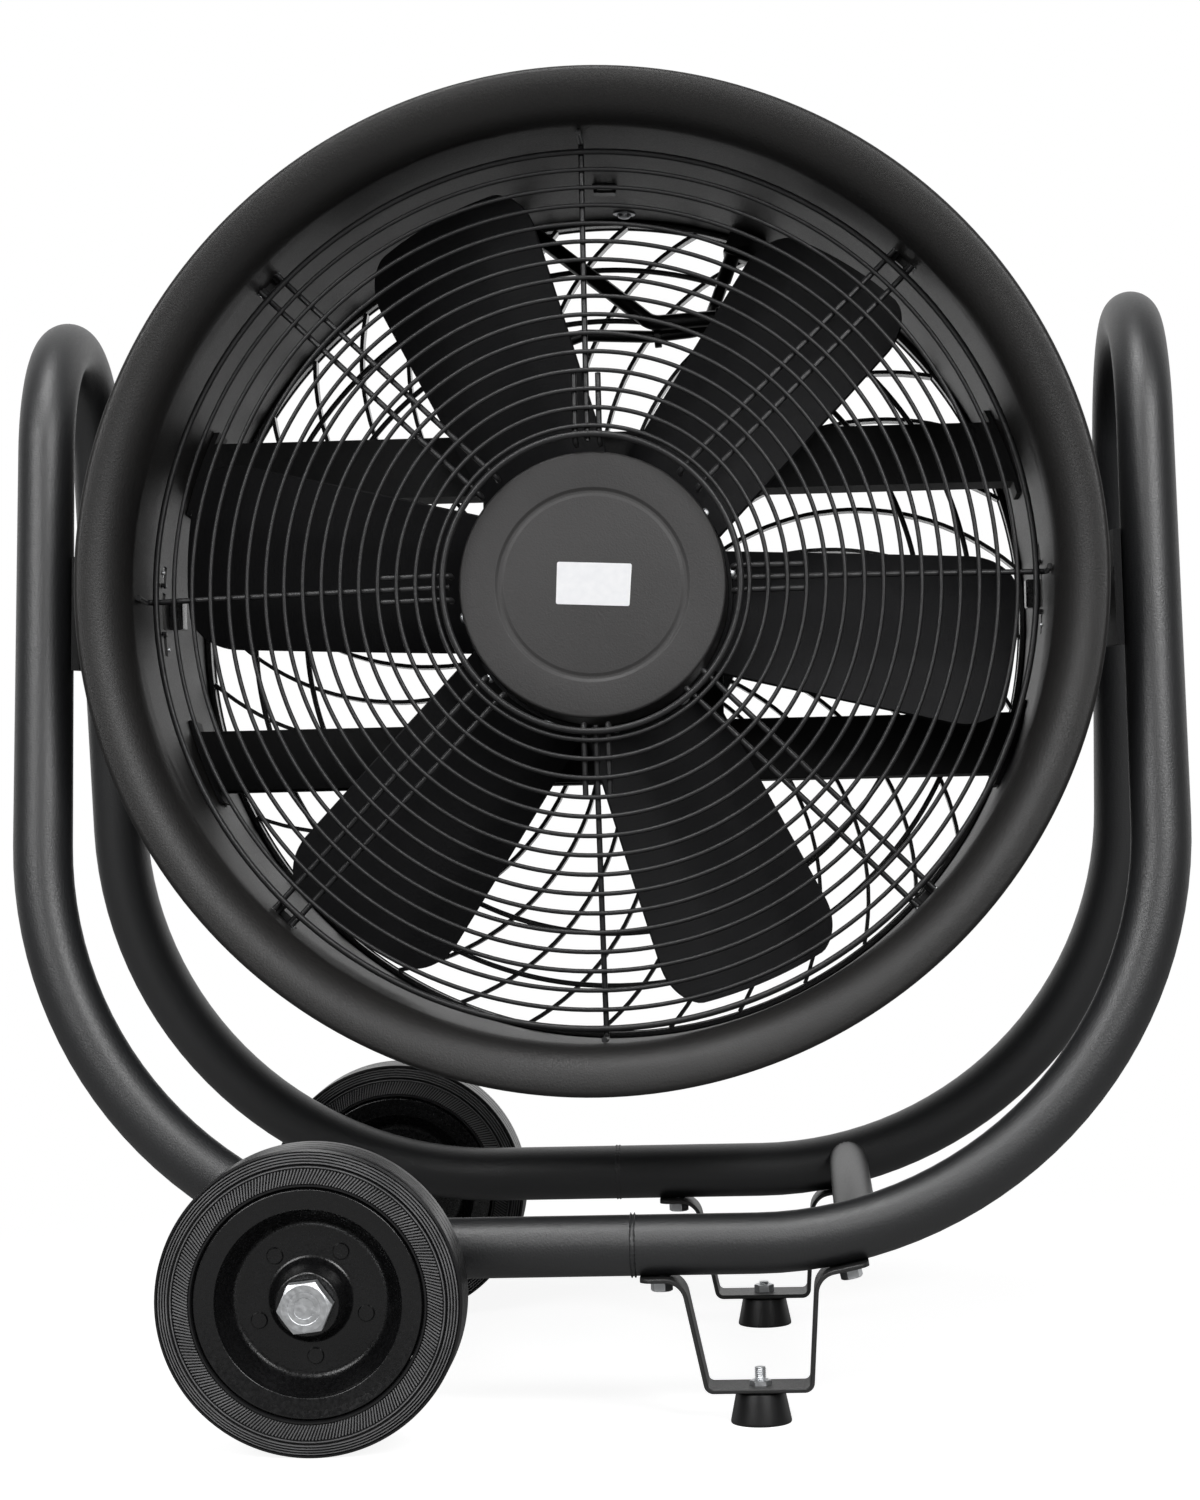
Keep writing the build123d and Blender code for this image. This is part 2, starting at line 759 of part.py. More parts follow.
def motor_rail(side):
    """Pressed channel across the drum, open to the rear, with a bolted tab at each end."""
    with BuildPart() as rail:
        with BuildSketch(Plane(origin=pivot, x_dir=upward, z_dir=(1, 0, 0))):
            with Locations((side * rail_offset, motor_plate_z - rail_depth / 2)):
                Rectangle(rail_profile_height, rail_depth)
            with Locations((side * rail_offset, motor_plate_z - rail_depth / 2 - rail_sheet)):
                Rectangle(rail_profile_height - 2 * rail_sheet, rail_depth, mode=Mode.SUBTRACT)
        extrude(amount=drum_r, both=True)
        with BuildSketch(across_drum(motor_plate_z)):
            Circle(rail_tab_r)
        extrude(amount=-rail_depth, mode=Mode.INTERSECT)
        with BuildSketch(across_drum(motor_plate_z)):
            with Locations((0, side * rail_offset)):
                Rectangle(2 * drum_r, rail_end_length)
            Circle(rail_tab_r, mode=Mode.INTERSECT)
            Circle(rail_tab_r - rail_end_sheet, mode=Mode.SUBTRACT)
        extrude(amount=-rail_depth)
    return rail


motor_rail_upper = motor_rail(1)
motor_rail_lower = motor_rail(-1)

with BuildPart() as motor_plate:
    with BuildSketch(across_drum(motor_plate_z)):
        RectangleRounded(motor_plate_width, 2 * rail_offset + rail_profile_height, plate_corner_r)
    extrude(amount=motor_plate_thickness)

# ---------------------------------------------------------------- motor
shaft_r = shaft_d / 2
can_inner_r = can_r - can_wall
stator_rear_z = motor_plate_z + motor_plate_thickness


with BuildPart() as motor_stator:
    stator_face = ring_face(shaft_r + running_gap, can_inner_r - rotor_air_gap, stator_rear_z)
    extrude(stator_face, amount=stator_front_z - stator_rear_z)

with BuildPart() as motor_can:
    with BuildSketch(drum_section):
        with BuildLine():
            Polyline(
                (0, can_front_z),
                (can_r - can_edge, can_front_z),
                (can_r, can_front_z - can_edge),
                (can_r, can_rear_z),
                (can_inner_r, can_rear_z),
                (can_inner_r, can_front_z - can_wall),
                (0, can_front_z - can_wall),
                close=True,
            )
        make_face()
        with Locations((cap_groove_r, can_front_z)):
            Rectangle(cap_groove_width, 2 * cap_groove_depth, mode=Mode.SUBTRACT)
    revolve(axis=drum_axis)

with BuildPart() as motor_shaft:
    with BuildSketch(across_drum(stator_rear_z)):
        Circle(shaft_r)
    extrude(amount=can_front_z - can_wall - stator_rear_z)

# ---------------------------------------------------------------- fan blades
blade_ring_inner_r = can_r + running_gap
blade_root_r = blade_ring_inner_r + blade_ring_thickness
blade_loft_r = [blade_root_r * 0.6, (blade_root_r + blade_tip_r) / 2, blade_tip_r * 1.04]
blade_loft_pitch = [blade_root_pitch, (blade_root_pitch + blade_tip_pitch) / 2, blade_tip_pitch]
blade_loft_width = blade_tip_chord * 1.2
blade_flare = (blade_tip_chord - blade_root_chord) / 2 / (blade_tip_r - blade_root_r)
blade_inner_x = blade_root_r - (blade_root_r - sqrt(blade_root_r ** 2 - blade_root_chord ** 2 / 4)) * 1.2

with BuildPart() as blade_ring:
    band_face = ring_face(blade_ring_inner_r, blade_root_r, blade_ring_rear_z)
    extrude(band_face, amount=blade_ring_front_z - blade_ring_rear_z)


def blade(angle):
    """Twisted, cambered sheet with rounded tip corners, standing on the blade ring."""
    turn = radians(angle)
    out = drum_plane.x_dir * cos(turn) + upward * sin(turn)
    along = upward * cos(turn) - drum_plane.x_dir * sin(turn)
    with BuildPart() as sheet:
        for radius, pitch in zip(blade_loft_r, blade_loft_pitch):
            chord = along * cos(radians(pitch)) - forward * sin(radians(pitch))
            half = blade_loft_width / 2 / cos(radians(pitch))
            centre = pivot + out * radius + forward * blade_mid_z
            with BuildSketch(Plane(origin=centre, x_dir=chord, z_dir=out)):
                with BuildLine():
                    ThreePointArc((-half, 0), (0, blade_camber), (half, 0))
                    Line((half, 0), (half, blade_sheet))
                    ThreePointArc((half, blade_sheet), (0, blade_camber + blade_sheet), (-half, blade_sheet))
                    Line((-half, blade_sheet), (-half, 0))
                make_face()
        loft()
        outline = Plane(origin=pivot + forward * blade_mid_z, x_dir=out, z_dir=forward)
        with BuildSketch(outline) as shape:
            tip_half = blade_tip_chord / 2
            inner_half = tip_half - blade_flare * (blade_tip_r - blade_inner_x)
            Polygon(
                (blade_inner_x, -inner_half),
                (blade_tip_r, -tip_half),
                (blade_tip_r, tip_half),
                (blade_inner_x, inner_half),
                align=None,
            )
            Circle(blade_tip_r, mode=Mode.INTERSECT)
            fillet(shape.vertices().sort_by(Axis.X)[-2:], blade_corner_r)
            Circle(blade_root_r, mode=Mode.SUBTRACT)
        extrude(amount=blade_tip_chord, both=True, mode=Mode.INTERSECT)
    return sheet


blades = [blade(blade_first_angle + number * 360 / blade_count) for number in range(blade_count)]

# ---------------------------------------------------------------- supply lead
def in_drum(x, y, z):
    """Point at x to the right, y up and z forward of the pivot, in the tilted drum."""
    return pivot + drum_plane.x_dir * x + upward * y + forward * z


def lead_section(start, after, diameter):
    """Many-sided section square to a lead's first stretch."""
    with BuildSketch(Plane(origin=start, z_dir=after - start)) as section:
        RegularPolygon(diameter / 2, lead_sides)
    return section.sketch


def lead_run(points):
    """Straight stretches joined by bends."""
    with BuildLine() as run:
        FilletPolyline(*points, radius=lead_bend_r)
    return run.line


block_out = drum_plane.x_dir * cos(radians(block_angle)) + upward * sin(radians(block_angle))
block_round = upward * cos(radians(block_angle)) - drum_plane.x_dir * sin(radians(block_angle))
block_outer_r = sqrt((drum_r - seat_gap) ** 2 - block_width ** 2 / 4)
block_inner_r = block_outer_r - block_height
block_rear = pivot + forward * block_z
barrel_root = block_rear + block_out * block_inner_r + block_round * barrel_offset
barrel_root = barrel_root + forward * (block_length / 2)

with BuildPart() as junction_block:
    with BuildSketch(Plane(origin=block_rear, x_dir=block_out, z_dir=forward)):
        with Locations((block_outer_r - block_height / 2, 0)):
            Rectangle(block_height, block_width)
    extrude(amount=block_length)
    with BuildSketch(Plane(origin=barrel_root, x_dir=forward, z_dir=-block_out)):
        Circle(barrel_d / 2)
    extrude(amount=barrel_length)

lead_start = barrel_root - block_out * (barrel_length + seat_gap)
lead_stop = in_drum(*lead_end, motor_plate_z - seat_gap)
lead_route = [lead_start, lead_start - block_out * lead_tail]
lead_route = lead_route + [in_drum(*point) for point in lead_points] + [lead_stop]
with BuildPart() as motor_lead:
    sweep(lead_section(lead_route[0], lead_route[1], lead_d), path=lead_run(lead_route))

sleeve_route = [in_drum(*point) for point in sleeve_points]
with BuildPart() as lead_sleeve:
    sweep(lead_section(sleeve_route[0], sleeve_route[1], sleeve_d), path=lead_run(sleeve_route))

# ---------------------------------------------------------------- files
for name, builder in (
    ("frame_tube_left", frame_tube_left),
    ("frame_tube_right", frame_tube_right),
    ("cross_tube", cross_tube),
    ("pivot_plate_left", pivot_plate_left),
    ("pivot_plate_right", pivot_plate_right),
    ("axle_rod", axle_rod),
    ("axle_nut", axle_nut),
    ("axle_sleeves", axle_sleeves),
    ("foot_strap_front", foot_strap_front),
    ("foot_strap_rear", foot_strap_rear),
    ("strap_bolts", strap_bolts),
    ("rubber_foot_front", rubber_foot_front),
    ("rubber_foot_rear", rubber_foot_rear),
    ("foot_studs", foot_studs),
    ("tyre_front", tyre_front),
    ("tyre_rear", tyre_rear),
    ("wheel_rim_front", wheel_rim_front),
    ("wheel_rim_rear", wheel_rim_rear),
    ("wheel_bush_front", wheel_bush_front),
    ("wheel_bush_rear", wheel_bush_rear),
    ("drum_shell", drum_shell),
    ("pivot_bolts", pivot_bolts),
    ("pivot_spacers", pivot_spacers),
    ("pivot_nuts", pivot_nuts),
    ("guard_rings", guard_rings),
    ("guard_spokes", guard_spokes),
    ("rear_guard", rear_guard),
    ("rear_guard_rings", rear_guard_rings),
    ("motor_rail_upper", motor_rail_upper),
    ("motor_rail_lower", motor_rail_lower),
    ("motor_plate", motor_plate),
    ("motor_stator", motor_stator),
    ("motor_can", motor_can),
    ("motor_shaft", motor_shaft),
    ("blade_ring", blade_ring),
    ("junction_block", junction_block),
    ("motor_lead", motor_lead),
    ("lead_sleeve", lead_sleeve),
):
    save(name, builder.part)

for number, fan_blade in enumerate(blades, 1):
    save(f"fan_blade_{number}", fan_blade.part)
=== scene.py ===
"""The look of the drum fan: camera, studio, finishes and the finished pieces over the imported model."""
import math
import random

import bmesh
import bpy
from mathutils import Matrix, Vector


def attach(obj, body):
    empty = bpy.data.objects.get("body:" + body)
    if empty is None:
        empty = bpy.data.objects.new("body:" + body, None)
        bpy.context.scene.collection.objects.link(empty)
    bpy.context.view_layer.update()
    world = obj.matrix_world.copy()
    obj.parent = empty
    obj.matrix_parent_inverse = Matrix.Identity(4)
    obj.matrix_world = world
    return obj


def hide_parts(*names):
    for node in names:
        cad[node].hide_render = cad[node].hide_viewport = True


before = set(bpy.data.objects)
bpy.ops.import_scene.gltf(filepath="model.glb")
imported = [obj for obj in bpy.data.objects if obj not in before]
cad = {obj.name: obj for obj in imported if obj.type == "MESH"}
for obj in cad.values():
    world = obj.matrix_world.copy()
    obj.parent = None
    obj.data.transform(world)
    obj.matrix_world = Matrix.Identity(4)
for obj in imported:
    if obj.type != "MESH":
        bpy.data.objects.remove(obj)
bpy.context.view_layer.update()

# ---------------- sizes, in millimetres
MM = 0.001
TILT = math.radians(4.6)
PIVOT_Z = 421.0
UPRIGHT_X = 290.0
RAIL_Y, RAIL_Z = 144.0, 91.0
TUBE_R = 15.5
HANDLE_TOP, HANDLE_BEND, RAIL_BEND = 584, 75, 212
FRONT_JOINT_X, REAR_JOINT_X = 15, -6
CROSS_X, CROSS_Z, CROSS_R, CROSS_HALF = 129, 97.1, 11, 131.2
DRUM_R, SHEET = 238.0, 1.6
THROAT_Z, REAR_Z = 114.0, -122.0
BELL_R, CURL_R = 24.0, 3.0
SLOT_Z, WINDOW_Z = 24.5, 72
SUPPORT_Y = 80
CAN_R, CAN_Z = 69.8, 99.6
BLADE_TIP_R, BLADE_ROOT_R = 224.5, 72.25
AXLE_X, AXLE_SEAT = -141.904, 222.8
WHEEL_R, WHEEL_Y = 76.2, 202.5
FOOT_X = 78.0
GUARD_TURN = 0.5
DIAGONALS = (45, 135, 225, 315)

# drum frame: x to the right, y up and z out of the front, origin at the pivot
DRUM = Matrix(((1, 0, 0, 0), (0, math.sin(TILT), -math.cos(TILT), 0),
               (0, math.cos(TILT), math.sin(TILT), PIVOT_Z), (0, 0, 0, 1)))
# wheel frames: z points away from the fan
WHEELS = {
    "front": Matrix(((1, 0, 0, AXLE_X), (0, 0, -1, -WHEEL_Y), (0, 1, 0, WHEEL_R), (0, 0, 0, 1))),
    "rear": Matrix(((-1, 0, 0, AXLE_X), (0, 0, 1, WHEEL_Y), (0, 1, 0, WHEEL_R), (0, 0, 0, 1))),
}
WORLD = Matrix.Identity(4)
OVER = Matrix.Rotation(math.pi, 4, "X")
TO_METRES = Matrix.Scale(MM, 4)
UP = Vector((0, 0, 1))


# ---------------- small helpers
def linear(colour):
    """sRGB hex to linear RGBA."""
    channels = [int(colour[i:i + 2], 16) / 255 for i in (1, 3, 5)]
    return [c / 12.92 if c <= 0.04045 else ((c + 0.055) / 1.055) ** 2.4 for c in channels] + [1.0]


def feed(node, inputs):
    """Gives each named or numbered input a value, a socket or another node's first output."""
    for key, value in inputs.items():
        if isinstance(value, bpy.types.Node):
            value = value.outputs[0]
        if isinstance(value, bpy.types.NodeSocket):
            node.id_data.links.new(value, node.inputs[key])
        else:
            node.inputs[key].default_value = value
    return node


def add(tree, kind, inputs=None, **settings):
    """A node with its settings and inputs."""
    made = tree.nodes.new(kind)
    for key, value in settings.items():
        setattr(made, key, value)
    return feed(made, inputs or {})


def rounded(corners, radii, step=6.0, closed=False):
    """The path through the corners, each turned on an arc of its own radius."""
    path = []
    count = len(corners)
    for index, corner in enumerate(corners):
        radius = radii[index] if isinstance(radii, (list, tuple)) else radii
        if radius == 0 or (not closed and index in (0, count - 1)):
            path.append(Vector(corner))
            continue
        before = (corners[index - 1] - corner).normalized()
        after = (corners[(index + 1) % count] - corner).normalized()
        half = before.angle(after) / 2
        centre = corner + (before + after).normalized() * radius / math.sin(half)
        start = corner + before * radius / math.tan(half) - centre
        end = corner + after * radius / math.tan(half) - centre
        turn = math.pi - 2 * half
        parts = max(2, math.ceil(turn / math.radians(step)))
        for k in range(parts + 1):
            path.append(centre + Matrix.Rotation(turn * k / parts, 3, start.cross(end)) @ start)
    return path


def outline(points, radii=0.0, step=15.0):
    """A closed (radius, z) profile with rounded corners."""
    return [(p.x, p.y) for p in rounded([Vector((r, z, 0)) for r, z in points], radii, step, True)]


def skin(rings, closed=False):
    """Skins a row of equal rings; closed joins the last to the first, otherwise both ends are capped."""
    size = len(rings[0])
    count = len(rings)
    faces = []
    for i in range(count if closed else count - 1):
        for k in range(size):
            after = (i + 1) % count * size
            faces.append((i * size + k, i * size + (k + 1) % size, after + (k + 1) % size, after + k))
    if not closed:
        faces.append(tuple(range(size - 1, -1, -1)))
        faces.append(tuple(range((count - 1) * size, count * size)))
    return [Vector(point) for ring in rings for point in ring], faces


def lathe(profile, steps=192):
    """Turns a closed (radius, z) profile about z."""
    turns = [2 * math.pi * i / steps for i in range(steps)]
    return skin([[(r * math.cos(turn), r * math.sin(turn), z) for r, z in profile] for turn in turns], True)


def spun(points, radii, steps=192):
    """A turned solid with rounded corners."""
    return lathe(outline(points, radii), steps)


def swept(path, section, side, closed=False, scales=None):
    """Carries a closed (a, b) section along a path; a starts along side and doesn't twist."""
    count = len(path)
    rings = []
    a_axis = Vector(side)
    for i, point in enumerate(path):
        before = path[i - 1] if closed or i else path[i]
        after = path[(i + 1) % count] if closed or i < count - 1 else path[i]
        along = (after - before).normalized()
        a_axis = (a_axis - along * a_axis.dot(along)).normalized()
        b_axis = along.cross(a_axis)
        scale = scales[i] if scales else 1.0
        rings.append([point + (a_axis * a + b_axis * b) * scale for a, b in section])
    return skin(rings, closed)


def aimed(origin, direction, twist=0.0):
    """A frame at origin with z along direction."""
    turn = Vector(direction).to_track_quat("Z", "Y").to_matrix().to_4x4()
    return Matrix.Translation(Vector(origin)) @ turn @ Matrix.Rotation(math.radians(twist), 4, "Z")


def lifted(z):
    return Matrix.Translation((0, 0, z))


def radial(angle):
    """Unit vectors away from the z axis and round it, at an angle in degrees."""
    turn = math.radians(angle)
    return Vector((math.cos(turn), math.sin(turn), 0)), Vector((-math.sin(turn), math.cos(turn), 0))


def circle(radius, z, steps=48):
    turns = [2 * math.pi * k / steps for k in range(steps)]
    return [(radius * math.cos(turn), radius * math.sin(turn), z) for turn in turns]


def hexagon(flats, height, bore=0.0, dimple=0.0):
    """A hexagon with its corners chamfered on top: a nut with a bore, or a head with a stamped dimple."""
    crown = flats * 0.475
    low = []
    edge = []
    for k, (x, y, _) in enumerate(circle(1.0, 0)):
        reach = flats / 2 / math.cos((k % 8 - 4) * math.pi / 24)
        low.append((x * reach, y * reach, 0))
        edge.append((x * reach, y * reach, height - (reach - crown) * math.tan(math.radians(30))))
    rings = [low, edge, circle(crown, height)]
    if bore:
        rings += [circle(bore + 0.7, height), circle(bore, height - 0.7), circle(bore, 0)]
    if dimple:
        rings += [circle(crown * 0.72, height), circle(crown * 0.64, height - dimple)]
    return skin(rings, bool(bore))


def thread(radius, length, pitch, depth):
    """A rod with a helical thread and a lead-in at its far end."""
    rings = []
    rows = round(length / pitch * 6)
    for j in range(rows + 1):
        z = length * j / rows
        core = min(radius, radius - depth + (length - z))
        ring = []
        for k, (x, y, _) in enumerate(circle(1.0, 0, 24)):
            crest = abs(2 * ((z / pitch - k / 24) % 1) - 1)
            r = min(core, radius - depth * crest)
            ring.append((x * r, y * r, z))
        rings.append(ring)
    return skin(rings)


def washer(inner, outer, height):
    return spun([(inner, 0), (outer, 0), (outer, height), (inner, height)], [0, 0.3, 0.3, 0], 48)


def dome(radius, height):
    """A low round screw or rivet head."""
    shares = ((1, 0), (0.97, 0.45), (0.8, 0.8), (0.45, 1))
    return skin([circle(radius * wide, height * high, 24) for wide, high in shares])


def round_section(radius, sides):
    return [(x, y) for x, y, _ in circle(radius, 0, sides)]


def box_section(width, height, corner=0.3):
    """A flat bar's section with broken corners."""
    w = width / 2
    h = height / 2
    return [(-w + corner, -h), (w - corner, -h), (w, -h + corner), (w, h - corner),
            (w - corner, h), (-w + corner, h), (-w, h - corner), (-w, -h + corner)]


def joined(*shapes):
    """Several (vertices, faces) as one."""
    vertices = []
    faces = []
    for more_vertices, more_faces in shapes:
        base = len(vertices)
        vertices += list(more_vertices)
        faces += [tuple(base + i for i in face) for face in more_faces]
    return vertices, faces


def placed(shape, matrix):
    return [matrix @ Vector(v) for v in shape[0]], shape[1]


def linked(name, data):
    """A new object in the scene."""
    made = bpy.data.objects.new(name, data)
    bpy.context.scene.collection.objects.link(made)
    return made


def merge(mesh, distance, outwards=True):
    """Merges a mesh's doubles and, where asked, turns its faces outwards."""
    work = bmesh.new()
    work.from_mesh(mesh)
    bmesh.ops.remove_doubles(work, verts=work.verts, dist=distance)
    if outwards:
        bmesh.ops.recalc_face_normals(work, faces=work.faces)
    work.to_mesh(mesh)
    work.free()


def plain_mesh(name, shape, place):
    """A mesh in metres in the fan's frame, closed and facing outwards."""
    mesh = bpy.data.meshes.new(name)
    mesh.from_pydata([Vector(v) for v in shape[0]], [], shape[1])
    merge(mesh, 0.0005)
    mesh.transform(TO_METRES @ place)
    return mesh


def piece(name, mesh, material, body, stands_for=(), angle=32):
    """Puts a mesh on its body, smooth but for sharp edges, with its material and the CAD nodes it stands for."""
    made = linked(name, mesh)
    mesh.materials.clear()
    mesh.materials.append(material)
    mesh.shade_smooth()
    mesh.set_sharp_from_angle(angle=math.radians(angle))
    if stands_for:
        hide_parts(*stands_for)
    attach(made, body)


def solid(name, shape, place, material, body, stands_for=(), angle=32):
    piece(name, plain_mesh(name, shape, place), material, body, stands_for, angle)


def smooth_copy(node, material, body, angle=32):
    """A CAD node's own shape with its doubles merged, so that its round faces shade smoothly."""
    mesh = cad[node].data.copy()
    merge(mesh, 1e-6, False)
    piece(node + "_finished", mesh, material, body, (node,), angle)


def plain_result(holder, modifier):
    """The mesh that an object's modifier makes; both are removed."""
    bpy.context.view_layer.update()
    mesh = bpy.data.meshes.new_from_object(holder.evaluated_get(bpy.context.evaluated_depsgraph_get()))
    holder.modifiers.remove(modifier)
    bpy.data.objects.remove(holder)
    return mesh


def grown(name, tree, settings, place, material, body, stands_for=(), angle=32):
    """Runs a geometry tree with its sizes and puts the result on its body as one plain mesh."""
    holder = linked(name + "_source", bpy.data.meshes.new(name + "_source"))
    maker = holder.modifiers.new("made", "NODES")
    maker.node_group = tree
    sockets = {item.name: item.identifier for item in tree.interface.items_tree
               if item.item_type == "SOCKET" and item.in_out == "INPUT"}
    for key, value in {**settings, "Finish": material}.items():
        maker[sockets[key]] = value
    mesh = plain_result(holder, maker)
    mesh.name = name
    mesh.transform(TO_METRES @ place)
    piece(name, mesh, material, body, stands_for, angle)


def new_tree(name, *inputs):
    """An empty geometry tree and its input sockets: a count, lengths, angles and the finish."""
    kinds = {"Count": "Int", "Finish": "Material"}
    tree = bpy.data.node_groups.new(name, "GeometryNodeTree")
    tree.interface.new_socket("Geometry", in_out="OUTPUT", socket_type="NodeSocketGeometry")
    for key in ("Count", *inputs, "Finish"):
        tree.interface.new_socket(key, in_out="INPUT", socket_type="NodeSocket" + kinds.get(key, "Float"))
    return tree, tree.nodes.new("NodeGroupInput").outputs


def finished_tree(tree, given, shape):
    """Sets the finish on the tree's shape and gives it out."""
    coat = add(tree, "GeometryNodeSetMaterial", {"Geometry": shape, "Material": given["Finish"]})
    add(tree, "NodeGroupOutput", {0: coat})
    return tree


# ---------------- camera
def set_camera():
    """The photograph's view: low and a little to the right, turned slightly left."""
    yaw, pitch, roll = 0.0506, -0.0123, -0.02466
    photo_wide, photo_high = 1200, 1500
    focal, middle_x, middle_y = 3555, 607.7, 754.6  # in pixels of the photograph
    film = 36.0
    ahead = Vector((-math.sin(yaw) * math.cos(pitch), math.cos(yaw) * math.cos(pitch), math.sin(pitch)))
    level = Vector((math.cos(yaw), math.sin(yaw), 0))
    top = level.cross(ahead)
    right = level * math.cos(roll) + top * math.sin(roll)
    up = top * math.cos(roll) - level * math.sin(roll)
    data = bpy.data.cameras.new("camera")
    data.sensor_fit = "HORIZONTAL"
    data.sensor_width = film
    data.lens = film * focal / photo_wide
    data.shift_x = -(middle_x - photo_wide / 2) / photo_wide
    data.shift_y = (middle_y - photo_high / 2) / photo_wide
    data.clip_end = 50
    camera = linked("camera", data)
    turn = Matrix((right, up, -ahead)).transposed().to_4x4()
    camera.matrix_world = Matrix.Translation(Vector((99.4, -1947, 363.0)) * MM) @ turn
    bpy.context.scene.camera = camera


# ---------------- finishes
def surface(name):
    """A new material's tree, shader and Object coordinates."""
    material = bpy.data.materials.new(name)
    material.use_nodes = True
    tree = material.node_tree
    return material, tree, tree.nodes["Principled BSDF"], add(tree, "ShaderNodeTexCoord").outputs["Object"]


def powder_coat(name, base, shade, rough, grain=1.1, sheen_step=0.06, scuff="#4a4a4b", wear=0.0,
                shine=0.5):
    """Baked polyester powder on steel: a fine orange peel that spreads each highlight, with faint tone drift.

    The peel is about 1 mm across, drawn a little coarser than real so that it shows; wear adds pale dry rubs.
    """
    material, tree, shader, place = surface(name)
    peel = add(tree, "ShaderNodeTexNoise", {"Vector": place, "Scale": 1000 / grain, "Detail": 3.0,
                                            "Roughness": 0.6})
    drift = add(tree, "ShaderNodeTexNoise", {"Vector": place, "Scale": 14.0, "Detail": 4.0, "Roughness": 0.55})
    speckle = add(tree, "ShaderNodeMath", {0: peel, 1: drift}, operation="ADD")
    share = add(tree, "ShaderNodeMapRange", {"Value": speckle, "From Min": 0.7, "From Max": 1.3})
    tone = add(tree, "ShaderNodeMixRGB", {"Fac": share, "Color1": linear(base), "Color2": linear(shade)})
    rubs = add(tree, "ShaderNodeTexNoise", {"Vector": place, "Scale": 38.0, "Detail": 8.0, "Roughness": 0.75})
    rubbed = add(tree, "ShaderNodeMapRange", {"Value": rubs, "From Min": 0.66, "From Max": 0.72, "To Max": wear})
    worn = add(tree, "ShaderNodeMixRGB", {"Fac": rubbed, "Color1": tone, "Color2": linear(scuff)})
    gloss = add(tree, "ShaderNodeMapRange", {"Value": peel, "From Min": 0.3, "From Max": 0.7,
                                            "To Min": rough - sheen_step, "To Max": rough + sheen_step})
    relief = add(tree, "ShaderNodeBump", {"Height": peel, "Strength": 0.7, "Distance": 0.0002})
    feed(shader, {"Base Color": worn, "Specular IOR Level": shine, "Roughness": gloss, "Normal": relief})
    return material


def zinc_plate():
    """Bright zinc plating on cold-headed steel: cloudy crystal patches, and a fine cloud in its gloss and relief.
    """
    material, tree, shader, place = surface("zinc_plated_steel")
    cloud = add(tree, "ShaderNodeTexNoise", {"Vector": place, "Scale": 450.0, "Detail": 5.0})
    patch = add(tree, "ShaderNodeTexNoise", {"Vector": place, "Scale": 120.0, "Detail": 3.0})
    tone = add(tree, "ShaderNodeMixRGB", {"Fac": patch, "Color1": linear("#d8dadc"),
                                          "Color2": linear("#e6e8ea")})
    gloss = add(tree, "ShaderNodeMapRange", {"Value": cloud, "From Min": 0.3, "From Max": 0.7, "To Min": 0.34,
                                            "To Max": 0.56})
    relief = add(tree, "ShaderNodeBump", {"Height": cloud, "Strength": 0.5, "Distance": 0.0003})
    feed(shader, {"Base Color": tone, "Metallic": 1.0, "Roughness": gloss, "Normal": relief})
    return material


def rubber(name, base, shade, rough):
    """Vulcanised rubber: matt, with mould bloom in pale patches and a fine pebble."""
    material, tree, shader, place = surface(name)
    pebble = add(tree, "ShaderNodeTexNoise", {"Vector": place, "Scale": 900.0, "Detail": 3.0})
    bloom = add(tree, "ShaderNodeTexNoise", {"Vector": place, "Scale": 45.0, "Detail": 6.0})
    tone = add(tree, "ShaderNodeMixRGB", {"Fac": bloom, "Color1": linear(base), "Color2": linear(shade)})
    gloss = add(tree, "ShaderNodeMapRange", {"Value": bloom, "To Min": rough - 0.08, "To Max": rough + 0.1})
    relief = add(tree, "ShaderNodeBump", {"Height": pebble, "Strength": 0.3, "Distance": 0.00015})
    feed(shader, {"Base Color": tone, "Roughness": gloss, "Normal": relief})
    return material


def label_film():
    """Blank white polyester label: nearly flat white with a slight satin and paper-like mottling."""
    material, tree, shader, place = surface("white_label_film")
    mottle = add(tree, "ShaderNodeTexNoise", {"Vector": place, "Scale": 260.0, "Detail": 4.0})
    tone = add(tree, "ShaderNodeMixRGB", {"Fac": mottle, "Color1": linear("#e6e7ea"),
                                          "Color2": linear("#f6f6f7")})
    feed(shader, {"Base Color": tone, "Roughness": 0.38})
    return material


COAT = powder_coat("textured_black_powder_coat", "#101113", "#191a1c", 0.46, shine=1.0)
DRUM_COAT = powder_coat("drum_powder_coat", "#141313", "#1d1c1b", 0.47, wear=0.35, shine=0.5)
STRAP_COAT = powder_coat("strap_powder_coat", "#252525", "#2f2f2f", 0.45)
# a matt black coat drawn darker and duller than the frame's, as painted shade for parts deep in the drum and
# behind the bell
SHADED_SUPPORT_COAT = powder_coat("motor_support_coat_painted_shade", "#09090a", "#0e0e0f", 0.6, shine=0.2)
WIRE_COAT = powder_coat("guard_wire_coat", "#1a1a1b", "#242425", 0.4, 0.8)
CAN_COAT = powder_coat("motor_can_coat", "#323131", "#3a3939", 0.5, wear=0.2, scuff="#585858")
BLADE_COAT = powder_coat("blade_paint", "#1b1b1c", "#222223", 0.5, shine=0.1)
RIM_ENAMEL = powder_coat("black_rim_enamel", "#0c0c0d", "#131314", 0.27, 2.0, 0.08, wear=0.3, shine=0.6)
GUARD_PLASTIC = powder_coat("moulded_polypropylene", "#131314", "#1a1a1b", 0.2, sheen_step=0.04, shine=1.0)
ZINC = zinc_plate()
TYRE_RUBBER = rubber("tyre_rubber", "#121213", "#1e1e1f", 0.34)
